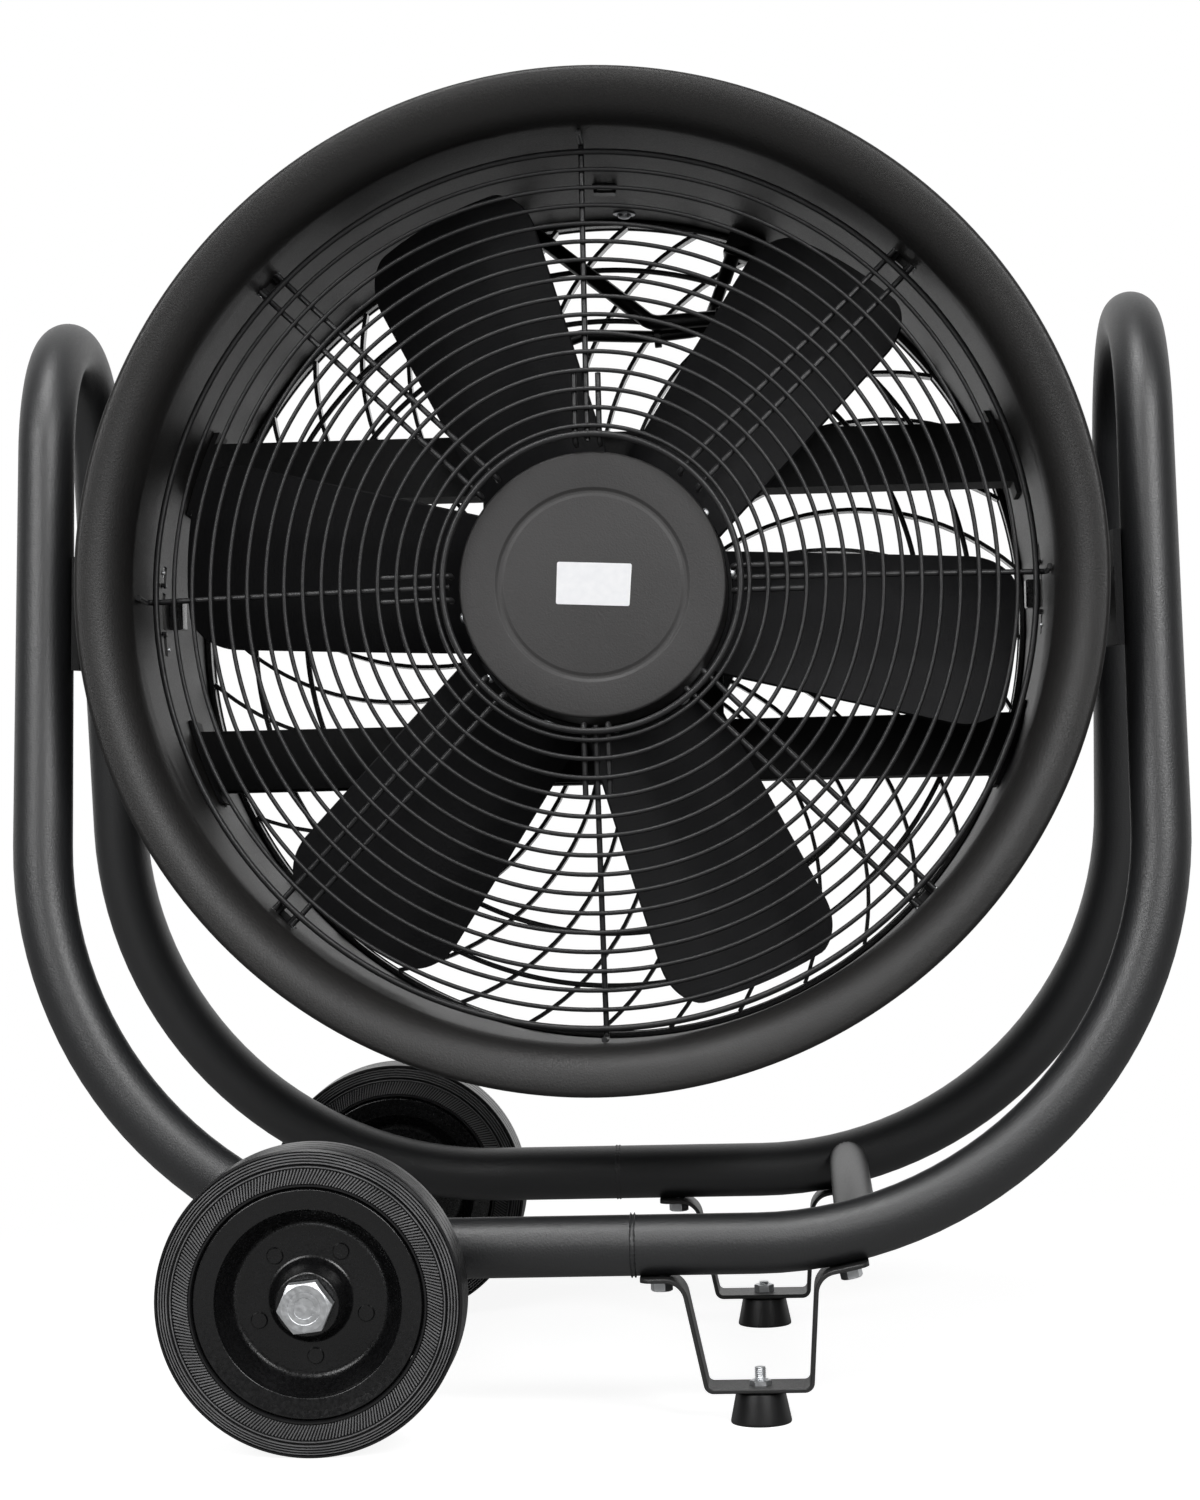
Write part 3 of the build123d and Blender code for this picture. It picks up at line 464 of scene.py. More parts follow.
# knurl bars and rib tops in a much lighter rubber: a painted highlight for the light these ridges catch
HIGHLIT_RIDGE_RUBBER = rubber("ridge_rubber_painted_highlight", "#4c4c4d", "#868687", 0.4)
FOOT_RUBBER = rubber("foot_rubber", "#0d0d0e", "#151516", 0.4)
NYLON = rubber("black_nylon", "#131314", "#1b1b1c", 0.4)
LEAD_RUBBER = rubber("lead_sheath", "#0f0f10", "#19191a", 0.34)
LABEL = label_film()

set_camera()


# ---------------- cradle
def hoop_path(side):
    """Centre line of one half of the cradle from the front weld over the handle to the rear weld."""
    handle_z = HANDLE_TOP - TUBE_R - HANDLE_BEND
    lean = math.atan2(RAIL_Y, handle_z - RAIL_Z) - math.asin(HANDLE_BEND / math.hypot(RAIL_Y, handle_z - RAIL_Z))
    apex_z = RAIL_Z + RAIL_Y / math.tan(lean)
    corners = [Vector(corner) for corner in (
        (FRONT_JOINT_X, -RAIL_Y, RAIL_Z), (side * UPRIGHT_X, -RAIL_Y, RAIL_Z), (side * UPRIGHT_X, 0, apex_z),
        (side * UPRIGHT_X, RAIL_Y, RAIL_Z), (REAR_JOINT_X, RAIL_Y, RAIL_Z))]
    return rounded(corners, [0, RAIL_BEND, HANDLE_BEND, RAIL_BEND, 0], 3.0)


# the handle bend is drawn a little thinner than the legs it joins
BEND_FOOT_Z, BEND_HALF_Y, BEND_SHARE = HANDLE_TOP - TUBE_R - 84, 76, 0.955
for side, hand in ((-1, "left"), (1, "right")):
    path = hoop_path(side)
    drawn = [BEND_SHARE if point.z > BEND_FOOT_Z and abs(point.y) < BEND_HALF_Y else 1.0 for point in path]
    tube = swept(path, round_section(TUBE_R, 48), UP, False, drawn)
    solid("cradle_half_" + hand, tube, WORLD, COAT, "frame", ("frame_tube_" + hand,), 50)


def weld_bead(radius, seed, beads, high):
    """A rippled bead round a tube, about z."""
    rng = random.Random(seed)
    rings = []
    for i in range(3 * beads):
        turn = 2 * math.pi * i / (3 * beads)
        swell = high * (0.55 + 0.45 * math.cos(2 * math.pi * i / 3)) * rng.uniform(0.8, 1.3)
        wobble = rng.uniform(-0.15, 0.15)
        ring = [(-1.7, -0.5), (-1.0, swell), (-0.3, 0.1), (0.3, 0.1), (1.0, swell), (1.7, -0.5)]
        rings.append([((radius + rise) * math.cos(turn), (radius + rise) * math.sin(turn), along + wobble)
                      for along, rise in ring])
    return skin(rings, True)


# each bead as (radius, seed, beads, height, place, direction)
WELDS = (
    (TUBE_R, 4, 40, 1.0, (FRONT_JOINT_X, -RAIL_Y, RAIL_Z), (1, 0, 0)),
    (TUBE_R, 9, 40, 0.55, (REAR_JOINT_X, RAIL_Y, RAIL_Z), (1, 0, 0)),
    (CROSS_R - 0.4, 2, 30, 0.9, (CROSS_X, CROSS_HALF - 1.2, CROSS_Z), (0, 1, 0)),
    (CROSS_R - 0.4, 3, 30, 0.9, (CROSS_X, 1.2 - CROSS_HALF, CROSS_Z), (0, 1, 0)),
)
welds = [placed(weld_bead(*bead), aimed(spot, way)) for *bead, spot, way in WELDS]
solid("weld_beads", joined(*welds), WORLD, COAT, "frame", (), 60)

ends = [Vector((CROSS_X, y, CROSS_Z)) for y in (-CROSS_HALF, CROSS_HALF)]
cross = swept(ends, round_section(CROSS_R, 48), (1, 0, 0))
solid("cross_tube_drawn", cross, WORLD, COAT, "frame", ("cross_tube",), 50)
# pivot plates in the darker coat, painted shade behind the bell
for node in ("pivot_plate_left", "pivot_plate_right"):
    smooth_copy(node, SHADED_SUPPORT_COAT, "frame")


# ---------------- feet
STRAP_TOP, STRAP_FLOOR, STRAP, STRAP_HALF, STRAP_END = 75.5, 19.2, 2.2, 14, 6.0
SLOPE = math.asin(43 / 212)
LEFT_BOLT_X = 29
RIGHT_SEAT = Vector((124.14, 0, 80.17))
FOOT_HIGH = 16.0


def strap_shape(y):
    """Flat bar bent to a U with rounded flange ends; its middle line runs half its thickness under the seat."""
    half = STRAP / 2
    right = [RIGHT_SEAT.z + (x - RIGHT_SEAT.x) * math.tan(SLOPE) - half for x in (108.3, 134.2)]
    corners = [Vector(c) for c in ((18.2, y, STRAP_TOP - half), (39.6, y, STRAP_TOP - half),
                                   (51.2, y, STRAP_FLOOR - half), (104.1, y, STRAP_FLOOR - half),
                                   (108.0, y, right[0]), (134.2, y, right[1]))]
    path = rounded(corners, [0, 11, 4, 4, 11, 0], 7.5)
    ends = [0.0, 0.3, 1.0, 2.2, 4.0, STRAP_END]
    first = [corners[0] + (corners[1] - corners[0]).normalized() * d for d in ends]
    last = [corners[-1] + (corners[-2] - corners[-1]).normalized() * d for d in reversed(ends)]
    line = first + path[1:-1] + last
    rings = []
    side = Vector((0, 1, 0))
    for i, point in enumerate(line):
        along = (line[min(i + 1, len(line) - 1)] - line[max(i - 1, 0)]).normalized()
        gone = min((point - corners[0]).length, (point - corners[-1]).length, STRAP_END)
        narrow = STRAP_END - math.sqrt(max(STRAP_END ** 2 - (STRAP_END - gone) ** 2, 0.04))
        share = 1 - narrow / STRAP_HALF
        rings.append([point + side * a * share + along.cross(side) * b
                      for a, b in box_section(2 * STRAP_HALF, STRAP, 0.5)])
    return skin(rings)


def bolt_seats(y):
    """The frames of a strap's two bolts, on its underside with z pointing down."""
    down = Vector((math.sin(SLOPE), 0, -math.cos(SLOPE)))
    right = RIGHT_SEAT + down * STRAP + Vector((0, y - math.copysign(0.73, y), 0))
    return aimed((LEFT_BOLT_X, y, STRAP_TOP - STRAP), -UP, 11), aimed(right, down, 20)


def m6_rod(length):
    return thread(3.0, length, 1.0, 0.5)


plated = []
studs = []
for name, y, stud, nut in (("front", -RAIL_Y, 12.0, 2.4), ("rear", RAIL_Y, 9.0, 4.4)):
    solid("foot_strap_" + name + "_bent", strap_shape(y), WORLD, STRAP_COAT, "frame",
          ("foot_strap_" + name,), 40)
    for seat in bolt_seats(y):
        plated += [placed(washer(3.1, 5.6, 1.3), seat), placed(hexagon(10, 4.4, 0, 0.5), seat @ lifted(1.3)),
                   placed(m6_rod(12.0), seat @ OVER)]
    foot = aimed((FOOT_X, y, 0), UP)
    cone = spun([(0.4, 0), (15.5, 0), (15.5, 1.4), (12.5, FOOT_HIGH), (0.4, FOOT_HIGH)], [0, 0.8, 2, 0.9, 0], 96)
    solid("rubber_foot_" + name + "_moulded", cone, foot, FOOT_RUBBER, "frame",
          ("rubber_foot_" + name,))
    studs += [placed(m6_rod(stud), foot @ lifted(FOOT_HIGH + 0.2)),
              placed(washer(3.1, 9.5, 1.0), foot @ lifted(FOOT_HIGH)),
              placed(hexagon(10, nut, 3.0), foot @ lifted(STRAP_FLOOR))]
solid("strap_bolts_plated", joined(*plated), WORLD, ZINC, "frame", ("strap_bolts",), 28)
solid("foot_studs_threaded", joined(*studs), WORLD, ZINC, "frame", ("foot_studs",), 28)

# ---------------- axle
hub_place = Matrix.Translation((AXLE_X, 0, WHEEL_R))
rod = spun([(0.3, -222.0), (8, -222.0), (8, 232.8), (0.3, 232.8)], [0, 0, 1.2, 0], 48)
stamp = spun([(5.2, 0), (8.4, 0), (8.4, 0.35), (5.2, 0.35)], 0.15, 64)
axle = joined(placed(rod, aimed((0, 0, 0), (0, 1, 0))),
              placed(hexagon(24, 10, 0, 0.6), aimed((0, -AXLE_SEAT, 0), (0, -1, 0), 6)),
              placed(stamp, aimed((0, -232.25, 0), (0, -1, 0))))
solid("axle_with_head", axle, hub_place, ZINC, "frame", ("axle_rod",), 28)
solid("axle_nut_plated", placed(hexagon(24, 9.9, 8.1), aimed((0, AXLE_SEAT, 0), (0, 1, 0), 17)), hub_place, ZINC,
      "frame", ("axle_nut",), 28)
smooth_copy("axle_sleeves", ZINC, "frame")


# ---------------- wheels
def spread(tree, given, shape):
    """Instances of a shape, each turned about z by its share of a circle, made real."""
    line = add(tree, "GeometryNodeMeshLine", {"Count": given["Count"], "Offset": (0, 0, 0)})
    index = add(tree, "GeometryNodeInputIndex")
    step = add(tree, "ShaderNodeMath", {0: 2 * math.pi, 1: given["Count"]}, operation="DIVIDE")
    turn = add(tree, "ShaderNodeMath", {0: index, 1: step, 2: given["First angle"]}, operation="MULTIPLY_ADD")
    spin = add(tree, "ShaderNodeCombineXYZ", {"Z": turn})
    copies = add(tree, "GeometryNodeInstanceOnPoints", {"Points": line, "Instance": shape, "Rotation": spin})
    return add(tree, "GeometryNodeRealizeInstances", {"Geometry": copies})


def knurl_tree():
    """Slanted bars round a circle."""
    tree, given = new_tree("tyre_knurl", "First angle", "Radius", "Length", "Width", "Height", "Slant")
    size = add(tree, "ShaderNodeCombineXYZ", {"X": given["Length"], "Y": given["Width"], "Z": given["Height"]})
    bar = add(tree, "GeometryNodeMeshCube", {"Size": size})
    shift = add(tree, "ShaderNodeCombineXYZ", {"X": given["Radius"]})
    slant = add(tree, "ShaderNodeCombineXYZ", {"Z": given["Slant"]})
    moved = add(tree, "GeometryNodeTransform", {"Geometry": bar, "Translation": shift, "Rotation": slant})
    return finished_tree(tree, given, spread(tree, given, moved))


def rivet_tree():
    """Flat rivet heads round a circle."""
    tree, given = new_tree("wheel_rivets", "First angle", "Radius", "Head radius", "Head height")
    top = add(tree, "ShaderNodeMath", {0: given["Head radius"], 1: 0.86}, operation="MULTIPLY")
    head = add(tree, "GeometryNodeMeshCone", {"Vertices": 28, "Radius Top": top,
                                              "Radius Bottom": given["Head radius"],
                                              "Depth": given["Head height"]})
    shift = add(tree, "ShaderNodeCombineXYZ", {"X": given["Radius"]})
    moved = add(tree, "GeometryNodeTransform", {"Geometry": head, "Translation": shift})
    return finished_tree(tree, given, spread(tree, given, moved))


def tyre_profile():
    """Solid tyre: bead, floors of the knurled and the ribbed band, and a grooved tread, the same on both faces."""
    side = [(57.2, 17.3), (57.9, 18.7), (58.7, 18.7), (59.2, 17.2), (66.6, 17.2), (67.0, 18.6), (68.2, 18.6),
            (68.7, 17.2), (70.0, 17.2), (74.2, 15.7), (74.9, 16.7), (76.0, 15.8), (WHEEL_R, 14.2)]
    for groove in (8.0, 0.0):
        side += [(WHEEL_R, groove + 0.7), (WHEEL_R - 0.8, groove + 0.4), (WHEEL_R - 0.8, groove - 0.4),
                 (WHEEL_R, groove - 0.7)]
    half = side[:-2]
    return half + [(r, -z) for r, z in reversed(half)]


RIBS = [(67.6, 18.9), (69.6, 18.9), (71.0, 18.5), (72.4, 17.9), (73.8, 17.2)]
RIB_FOOT, RIB_TOP, RIB_HIGH = 0.35, 0.27, 2
HALF_DISH = [(57, 16.8), (56.1, 18.5), (52, 17.5), (46.4, 16.9), (45.6, 14.4), (38.5, 2.2), (21, 2.2), (18.3, 6),
             (16.4, 13), (15.9, 19), (11.5, 19)]
HALF_ROUND = [0.2, 0.8, 4, 0.7, 1.4, 5, 3, 3, 2, 1.6, 0.5]
KNURL = {"Count": 250, "First angle": 0.0, "Radius": 62.9, "Length": 8.0, "Width": 0.62, "Height": 2.6,
         "Slant": -0.42}
RIVETS = {"Count": 5, "First angle": math.radians(57), "Radius": 28.0, "Head radius": 4.3, "Head height": 1.3}
knurl = knurl_tree()
rivets = rivet_tree()
tyre = lathe(tyre_profile())
rim = spun(HALF_DISH + [(r, -z) for r, z in reversed(HALF_DISH)], HALF_ROUND + HALF_ROUND[::-1])
ribs = [lathe([(r - RIB_FOOT, z - RIB_HIGH), (r - RIB_TOP, z), (r + RIB_TOP, z), (r + RIB_FOOT, z - RIB_HIGH)],
              160) for r, z in RIBS]
for hand, place in WHEELS.items():
    body = "wheel_" + hand
    solid("tyre_" + hand + "_moulded", tyre, place, TYRE_RUBBER, body, ("tyre_" + hand,), 40)
    solid("wheel_rim_" + hand + "_pressed", rim, place, RIM_ENAMEL, body, ("wheel_rim_" + hand,), 40)
    smooth_copy("wheel_bush_" + hand, NYLON, body)
    for face, flip in (("outer", WORLD), ("inner", OVER)):
        here = place @ flip
        # ribs and knurl bars take the lighter rubber, a painted highlight on the ridges
        solid(f"tyre_{hand}_ribs_{face}", joined(*ribs), here, HIGHLIT_RIDGE_RUBBER, body, (), 40)
        grown(f"tyre_{hand}_knurl_{face}", knurl, KNURL, here @ lifted(17.4), HIGHLIT_RIDGE_RUBBER, body)
        grown(f"wheel_{hand}_rivets_{face}", rivets, RIVETS, here @ lifted(2.1), RIM_ENAMEL, body)


# ---------------- drum
def arc(centre_r, centre_z, radius, start, end, parts):
    """Points of a (radius, z) profile on an arc, past its start; angles in degrees."""
    turns = [math.radians(start + (end - start) * k / parts) for k in range(1, parts + 1)]
    return [(centre_r + radius * math.cos(turn), centre_z + radius * math.sin(turn)) for turn in turns]


def drum_profile():
    """Closed section of the drum's sheet: wall, bell, curl and rear lip."""
    centre_r = DRUM_R + BELL_R
    rim_r = centre_r + CURL_R
    curl_z = THROAT_Z + BELL_R - CURL_R
    hem_z = curl_z - 3
    lip_r = DRUM_R - 4
    return [(DRUM_R, REAR_Z + SHEET), (DRUM_R, THROAT_Z),
            *arc(centre_r, THROAT_Z, BELL_R, 180, 90, 12), *arc(centre_r, curl_z, CURL_R, 90, 0, 6),
            (rim_r, hem_z), (rim_r - SHEET, hem_z), (rim_r - SHEET, curl_z),
            *arc(centre_r, curl_z, CURL_R - SHEET, 0, 90, 6),
            *arc(centre_r, THROAT_Z, BELL_R - SHEET, 90, 180, 12),
            (DRUM_R + SHEET, REAR_Z), (lip_r, REAR_Z), (lip_r, REAR_Z + SHEET)]


def wall_box(angle, z, width, length):
    """A cutter through the drum's wall: width round the wall and length along it."""
    out, around = radial(angle)
    corners = ((-width, -length), (width, -length), (width, length), (-width, length))
    return skin([[out * (DRUM_R + r) + around * (w / 2) + UP * (z + d / 2) for w, d in corners] for r in (-8, 10)])


def shell_with_windows():
    """The spun shell with its side slots and the four windows cut out."""
    shell = linked("shell", plain_mesh("drum_shell_spun", lathe(drum_profile(), 240), DRUM))
    step = math.degrees(19 / DRUM_R)
    cuts = [wall_box(angle + aside, SLOT_Z, width, 9) for angle in (0, 180)
            for aside, width in ((0, 20), (step, 11), (-step, 11))]
    cuts += [wall_box(angle + GUARD_TURN, WINDOW_Z, 15, 9) for angle in DIAGONALS]
    cut = shell.modifiers.new("cut", "BOOLEAN")
    cut.object = cutter = linked("cutter", plain_mesh("cutter", joined(*cuts), DRUM))
    cut.operation = "DIFFERENCE"
    cut.solver = "EXACT"
    mesh = plain_result(shell, cut)
    bpy.data.objects.remove(cutter)
    return mesh


piece("drum_shell_spun", shell_with_windows(), DRUM_COAT, "drum", ("drum_shell",), 40)

smooth_copy("pivot_spacers", DRUM_COAT, "drum")
# motor rails and plate in the darker coat, painted shade deep in the drum
for node in ("motor_rail_upper", "motor_rail_lower", "motor_plate"):
    smooth_copy(node, SHADED_SUPPORT_COAT, "drum")
smooth_copy("motor_stator", DRUM_COAT, "drum")

# pivots: M12, square heads inside the drum, chamfered nuts outside the plates
HEAD_X, BOLT_X, NUT_X = 237.7, 231.8, 274.8
bolts = []
nuts = []
for side in (-1, 1):
    inside = aimed((side * HEAD_X, 0, PIVOT_Z), (-side, 0, 0))
    square = spun([(0.4, 0), (9.2, 0), (9.2, 6), (0.4, 6)], [0, 0, 1.2, 0], 4)
    bolts.append(placed(square, inside @ Matrix.Rotation(math.pi / 4, 4, "Z") @ Matrix.Scale(1.18, 4)))
    bolts.append(placed(thread(6.0, 51.0, 1.75, 0.8), aimed((side * BOLT_X, 0, PIVOT_Z), (side, 0, 0))))
    nuts.append(placed(hexagon(19, 8, 6.05), aimed((side * NUT_X, 0, PIVOT_Z), (side, 0, 0))))
solid("pivot_bolts_blackened", joined(*bolts), WORLD, RIM_ENAMEL, "drum", ("pivot_bolts",), 28)
solid("pivot_nuts_plated", joined(*nuts), WORLD, ZINC, "drum", ("pivot_nuts",), 28)

# supply lead: its connector block, the bare lead and the sleeved part
smooth_copy("junction_block", NYLON, "drum")
for node in ("motor_lead", "lead_sleeve"):
    smooth_copy(node, LEAD_RUBBER, "drum", 60)


def on_wall(angle, z, rise=0.0):
    """A frame on the drum's wall with z pointing inwards."""
    out = radial(angle)[0]
    return aimed(out * (DRUM_R - rise) + UP * z, -out)


# one washer-faced screw near the top, pan heads at the ends of both rails, clip screws at the windows and slots
screw = on_wall(87.0, -92)
small = [placed(washer(2.2, 6.5, 1.0), screw), placed(dome(4.2, 3.4), screw)]
for height in (SUPPORT_Y, -SUPPORT_Y):
    for side in (-1, 1):
        angle = math.degrees(math.atan2(height, side * math.sqrt(DRUM_R ** 2 - height ** 2)))
        small += [placed(dome(4.0, 2.6), on_wall(angle, z, 2.5)) for z in (-16, -30)]
for angle in DIAGONALS:
    small += [placed(dome(1.1, 1.4), on_wall(angle + GUARD_TURN + aside, 83.5)) for aside in (-1.75, 1.75)]
for angle in (0, 180):
    small += [placed(dome(1.2, 1.2), on_wall(angle + aside, z)) for aside, z in ((-4.9, 31.5), (4.9, 17.5))]
solid("drum_screws", joined(*small), DRUM, ZINC, "drum")

# guard snaps at the windows and a tie saddle near the top: blocks as (round, along, wide, deep, low, high)
SNAP = ((0, 0, 12, 7, -0.4, 3.4), (-4.2, 4.6, 2.6, 5, -0.4, 5.2), (4.2, 4.6, 2.6, 5, -0.4, 5.2))
SADDLE = ((0, 0, 14, 9, -0.4, 0.7), (-5.2, 0, 2, 8, -0.4, 4.6), (5.2, 0, 2, 8, -0.4, 4.6), (0, 0, 12, 8, 3.4, 5))
clips = []
for angle, level, blocks in [(angle + GUARD_TURN, 77, SNAP) for angle in DIAGONALS] + [(88.8, -22, SADDLE)]:
    out, around = radial(angle)
    seat = Matrix((-around, UP, -out)).transposed().to_4x4()
    seat.translation = out * DRUM_R + UP * level
    for round_way, along, wide, deep, low, high in blocks:
        block = swept([UP * low, UP * high], box_section(wide, deep, 0.5), (1, 0, 0))
        clips.append(placed(block, seat @ Matrix.Translation((round_way, along, 0))))
# strips over the side slots
line = [Vector((0, y, z)) for y, z in ((-4, 0.6), (-2.6, 2.2), (2.6, 2.2), (4, 0.6))]
strip = swept(line, box_section(2.0, 1.0, 0.2), (1, 0, 0))
clips += [placed(strip, on_wall(angle + aside, 32)) for angle in (0, 180) for aside in (-3.2, 3.2)]
solid("guard_clips", joined(*clips), DRUM, NYLON, "drum")

tie = spun([(4.7, -2), (5.9, -2), (5.9, 2), (4.7, 2)], 0.4, 40)
ties = [placed(tie, aimed((31, 160.5, -71.0), (1, 0.07, 0))), placed(tie, aimed((66, 168.8, -62), (1, -0.2, 0)))]
solid("cable_ties", joined(*ties), DRUM, NYLON, "drum")


# ---------------- front guard
HUB_R, SECOND_R, FIRST_R, PITCH, COUNT, OUTER_R = 77.4, 81.9, 91.5, 9.95, 14, 230.7
HUB_Z, EDGE_Z = 110.0, 89.0
WIRE_R, HEAVY_WIRE_R, SPOKE_R = 1.2, 1.7, 1.5
DOME = (HUB_Z - EDGE_Z) / (OUTER_R ** 2 - HUB_R ** 2)


def spoke_z(radius):
    """Height of a spoke's middle, against the inside of the domed rings."""
    return HUB_Z - DOME * (radius ** 2 - HUB_R ** 2) - WIRE_R - SPOKE_R


def ring_tree():
    """Round wire rings spaced evenly outwards on a dome."""
    tree, given = new_tree("guard_ring_wires", "First radius", "Pitch", "Wire radius", "Crown height",
                           "Crown radius", "Dome")
    line = add(tree, "GeometryNodeMeshLine", {"Count": given["Count"], "Offset": (0, 0, 0)})
    index = add(tree, "GeometryNodeInputIndex")
    reach = add(tree, "ShaderNodeMath", {0: index, 1: given["Pitch"], 2: given["First radius"]},
                operation="MULTIPLY_ADD")
    square = add(tree, "ShaderNodeMath", {0: reach, 1: reach}, operation="MULTIPLY")
    crown = add(tree, "ShaderNodeMath", {0: given["Crown radius"], 1: given["Crown radius"]},
                operation="MULTIPLY")
    beyond = add(tree, "ShaderNodeMath", {0: square, 1: crown}, operation="SUBTRACT")
    drop = add(tree, "ShaderNodeMath", {0: beyond, 1: given["Dome"]}, operation="MULTIPLY")
    height = add(tree, "ShaderNodeMath", {0: given["Crown height"], 1: drop}, operation="SUBTRACT")
    place = add(tree, "ShaderNodeCombineXYZ", {"Z": height})
    spots = add(tree, "GeometryNodeSetPosition", {"Geometry": line, "Position": place})
    ring = add(tree, "GeometryNodeCurvePrimitiveCircle", {"Resolution": 180, "Radius": 1.0})
    rings = add(tree, "GeometryNodeInstanceOnPoints", {"Points": spots, "Instance": ring, "Scale": reach})
    real = add(tree, "GeometryNodeRealizeInstances", {"Geometry": rings})
    wire = add(tree, "GeometryNodeCurvePrimitiveCircle", {"Resolution": 10, "Radius": given["Wire radius"]})
    body = add(tree, "GeometryNodeCurveToMesh", {"Curve": real, "Profile Curve": wire})
    return finished_tree(tree, given, body)


rings = ring_tree()
for name, count, radius, wire, stands_for in (
        ("guard_fine_rings", COUNT, FIRST_R, WIRE_R, ("guard_rings",)),
        ("guard_second_ring", 1, SECOND_R, WIRE_R, ()),
        ("guard_hub_ring", 1, HUB_R, HEAVY_WIRE_R, ()),
        ("guard_outer_ring", 1, OUTER_R, HEAVY_WIRE_R, ())):
    grown(name, rings, {"Count": count, "First radius": radius, "Pitch": PITCH, "Wire radius": wire,
                        "Crown height": HUB_Z + wire - WIRE_R, "Crown radius": HUB_R, "Dome": DOME},
          DRUM, WIRE_COAT, "drum", stands_for, 60)


def guard_wire(angle, sideways, stations):
    """A round wire, bent at its sharp corners, in a plane through or beside the axis; stations are (radius, z)."""
    out, around = radial(angle + GUARD_TURN)
    corners = [out * r + around * sideways + UP * z for r, z in stations]
    bends = [0] + [3.0 if abs((corners[i] - corners[i - 1]).angle(corners[i + 1] - corners[i])) > 0.5 else 0
                   for i in range(1, len(corners) - 1)] + [0]
    return swept(rounded(corners, bends, 15.0), round_section(SPOKE_R, 10), around)


END_R = DRUM_R - 0.3 - SPOKE_R
EDGE = spoke_z(OUTER_R)
arms = [(r, spoke_z(r)) for r in (110, 135, 160, 185, 210, OUTER_R)]
hook = [(73.5, spoke_z(73.5) - 9), (73.5, spoke_z(73.5))]
wires = []
for angle in (0, 90, 180, 270):
    wires.append(guard_wire(angle, 0, [(74.0, spoke_z(74.0))] + arms + [(END_R, EDGE), (END_R, 111)]))
    for sideways in (-6.3, 6.3):
        wires.append(guard_wire(angle, sideways, hook + [(110, spoke_z(110))]))
        wires.append(guard_wire(angle + 45, sideways, hook + arms + [(DRUM_R - 0.6, EDGE)]))
solid("guard_spoke_wires", joined(*wires), DRUM, WIRE_COAT, "drum", ("guard_spokes",), 60)


# ---------------- rear guard
RIB_START, RIB_SWEEP_R, RIB_COUNT, RIB_DEEP = 76.0, 140.0, 36, 10.0
RIM_MIDDLE = DRUM_R - 0.4 - 1.5
GUARD_BACK = REAR_Z + SHEET


def rib_tree():
    """Curved flat ribs set evenly round a hub; each leaves it radially and bends on one arc."""
    tree, given = new_tree("rear_guard_ribs", "Hub radius", "Bend radius", "Sweep", "First angle", "Thickness",
                           "Depth")
    back = add(tree, "ShaderNodeMath", {0: given["Sweep"], 1: -1.0}, operation="MULTIPLY")
    bend = add(tree, "GeometryNodeCurveArc", {"Resolution": 24, "Radius": given["Bend radius"],
                                              "Start Angle": math.pi / 2, "Sweep Angle": back}, mode="RADIUS")
    down = add(tree, "ShaderNodeMath", {0: given["Bend radius"], 1: -1.0}, operation="MULTIPLY")
    shift = add(tree, "ShaderNodeCombineXYZ", {"X": given["Hub radius"], "Y": down})
    rib = add(tree, "GeometryNodeTransform", {"Geometry": bend, "Translation": shift})
    bar = add(tree, "GeometryNodeCurvePrimitiveQuadrilateral", {"Width": given["Thickness"],
                                                                "Height": given["Depth"]})
    body = add(tree, "GeometryNodeCurveToMesh", {"Curve": rib, "Profile Curve": bar, "Fill Caps": True})
    return finished_tree(tree, given, spread(tree, given, body))


sweep_a = 2 * RIB_START * RIB_SWEEP_R
sweep_b = 2 * RIB_SWEEP_R ** 2
sweep = math.atan2(sweep_b, sweep_a) + math.asin(
    (RIM_MIDDLE ** 2 - RIB_START ** 2 - sweep_b) / math.hypot(sweep_a, sweep_b))
grown("rear_guard_ribs", rib_tree(), {
    "Count": RIB_COUNT, "Hub radius": RIB_START - 2, "Bend radius": RIB_SWEEP_R, "Sweep": sweep,
    "First angle": math.radians(3.5), "Thickness": 2.2, "Depth": RIB_DEEP},
    DRUM @ lifted(GUARD_BACK + RIB_DEEP / 2), GUARD_PLASTIC, "drum", ("rear_guard",), 40)


def hoop(radius, low, high, corner):
    """A flat ring 3 mm wide with rounded edges."""
    return spun([(radius - 1.5, low), (radius + 1.5, low), (radius + 1.5, high), (radius - 1.5, high)], corner)


front = GUARD_BACK + RIB_DEEP
hub = spun([(0.5, GUARD_BACK), (76, GUARD_BACK), (76, front), (70, front), (70, GUARD_BACK + 3),
            (0.5, GUARD_BACK + 3)], [0, 1, 0.8, 0.8, 1, 0], 96)
bands = joined(*[hoop(radius, front, front + 3, 0.9) for radius in (178.0, 208.0)])
solid("rear_guard_rim", hoop(RIM_MIDDLE, GUARD_BACK, front, 0.5), DRUM, GUARD_PLASTIC, "drum")
solid("rear_guard_hub", hub, DRUM, GUARD_PLASTIC, "drum")
solid("rear_guard_bands", bands, DRUM, GUARD_PLASTIC, "drum", ("rear_guard_rings",))

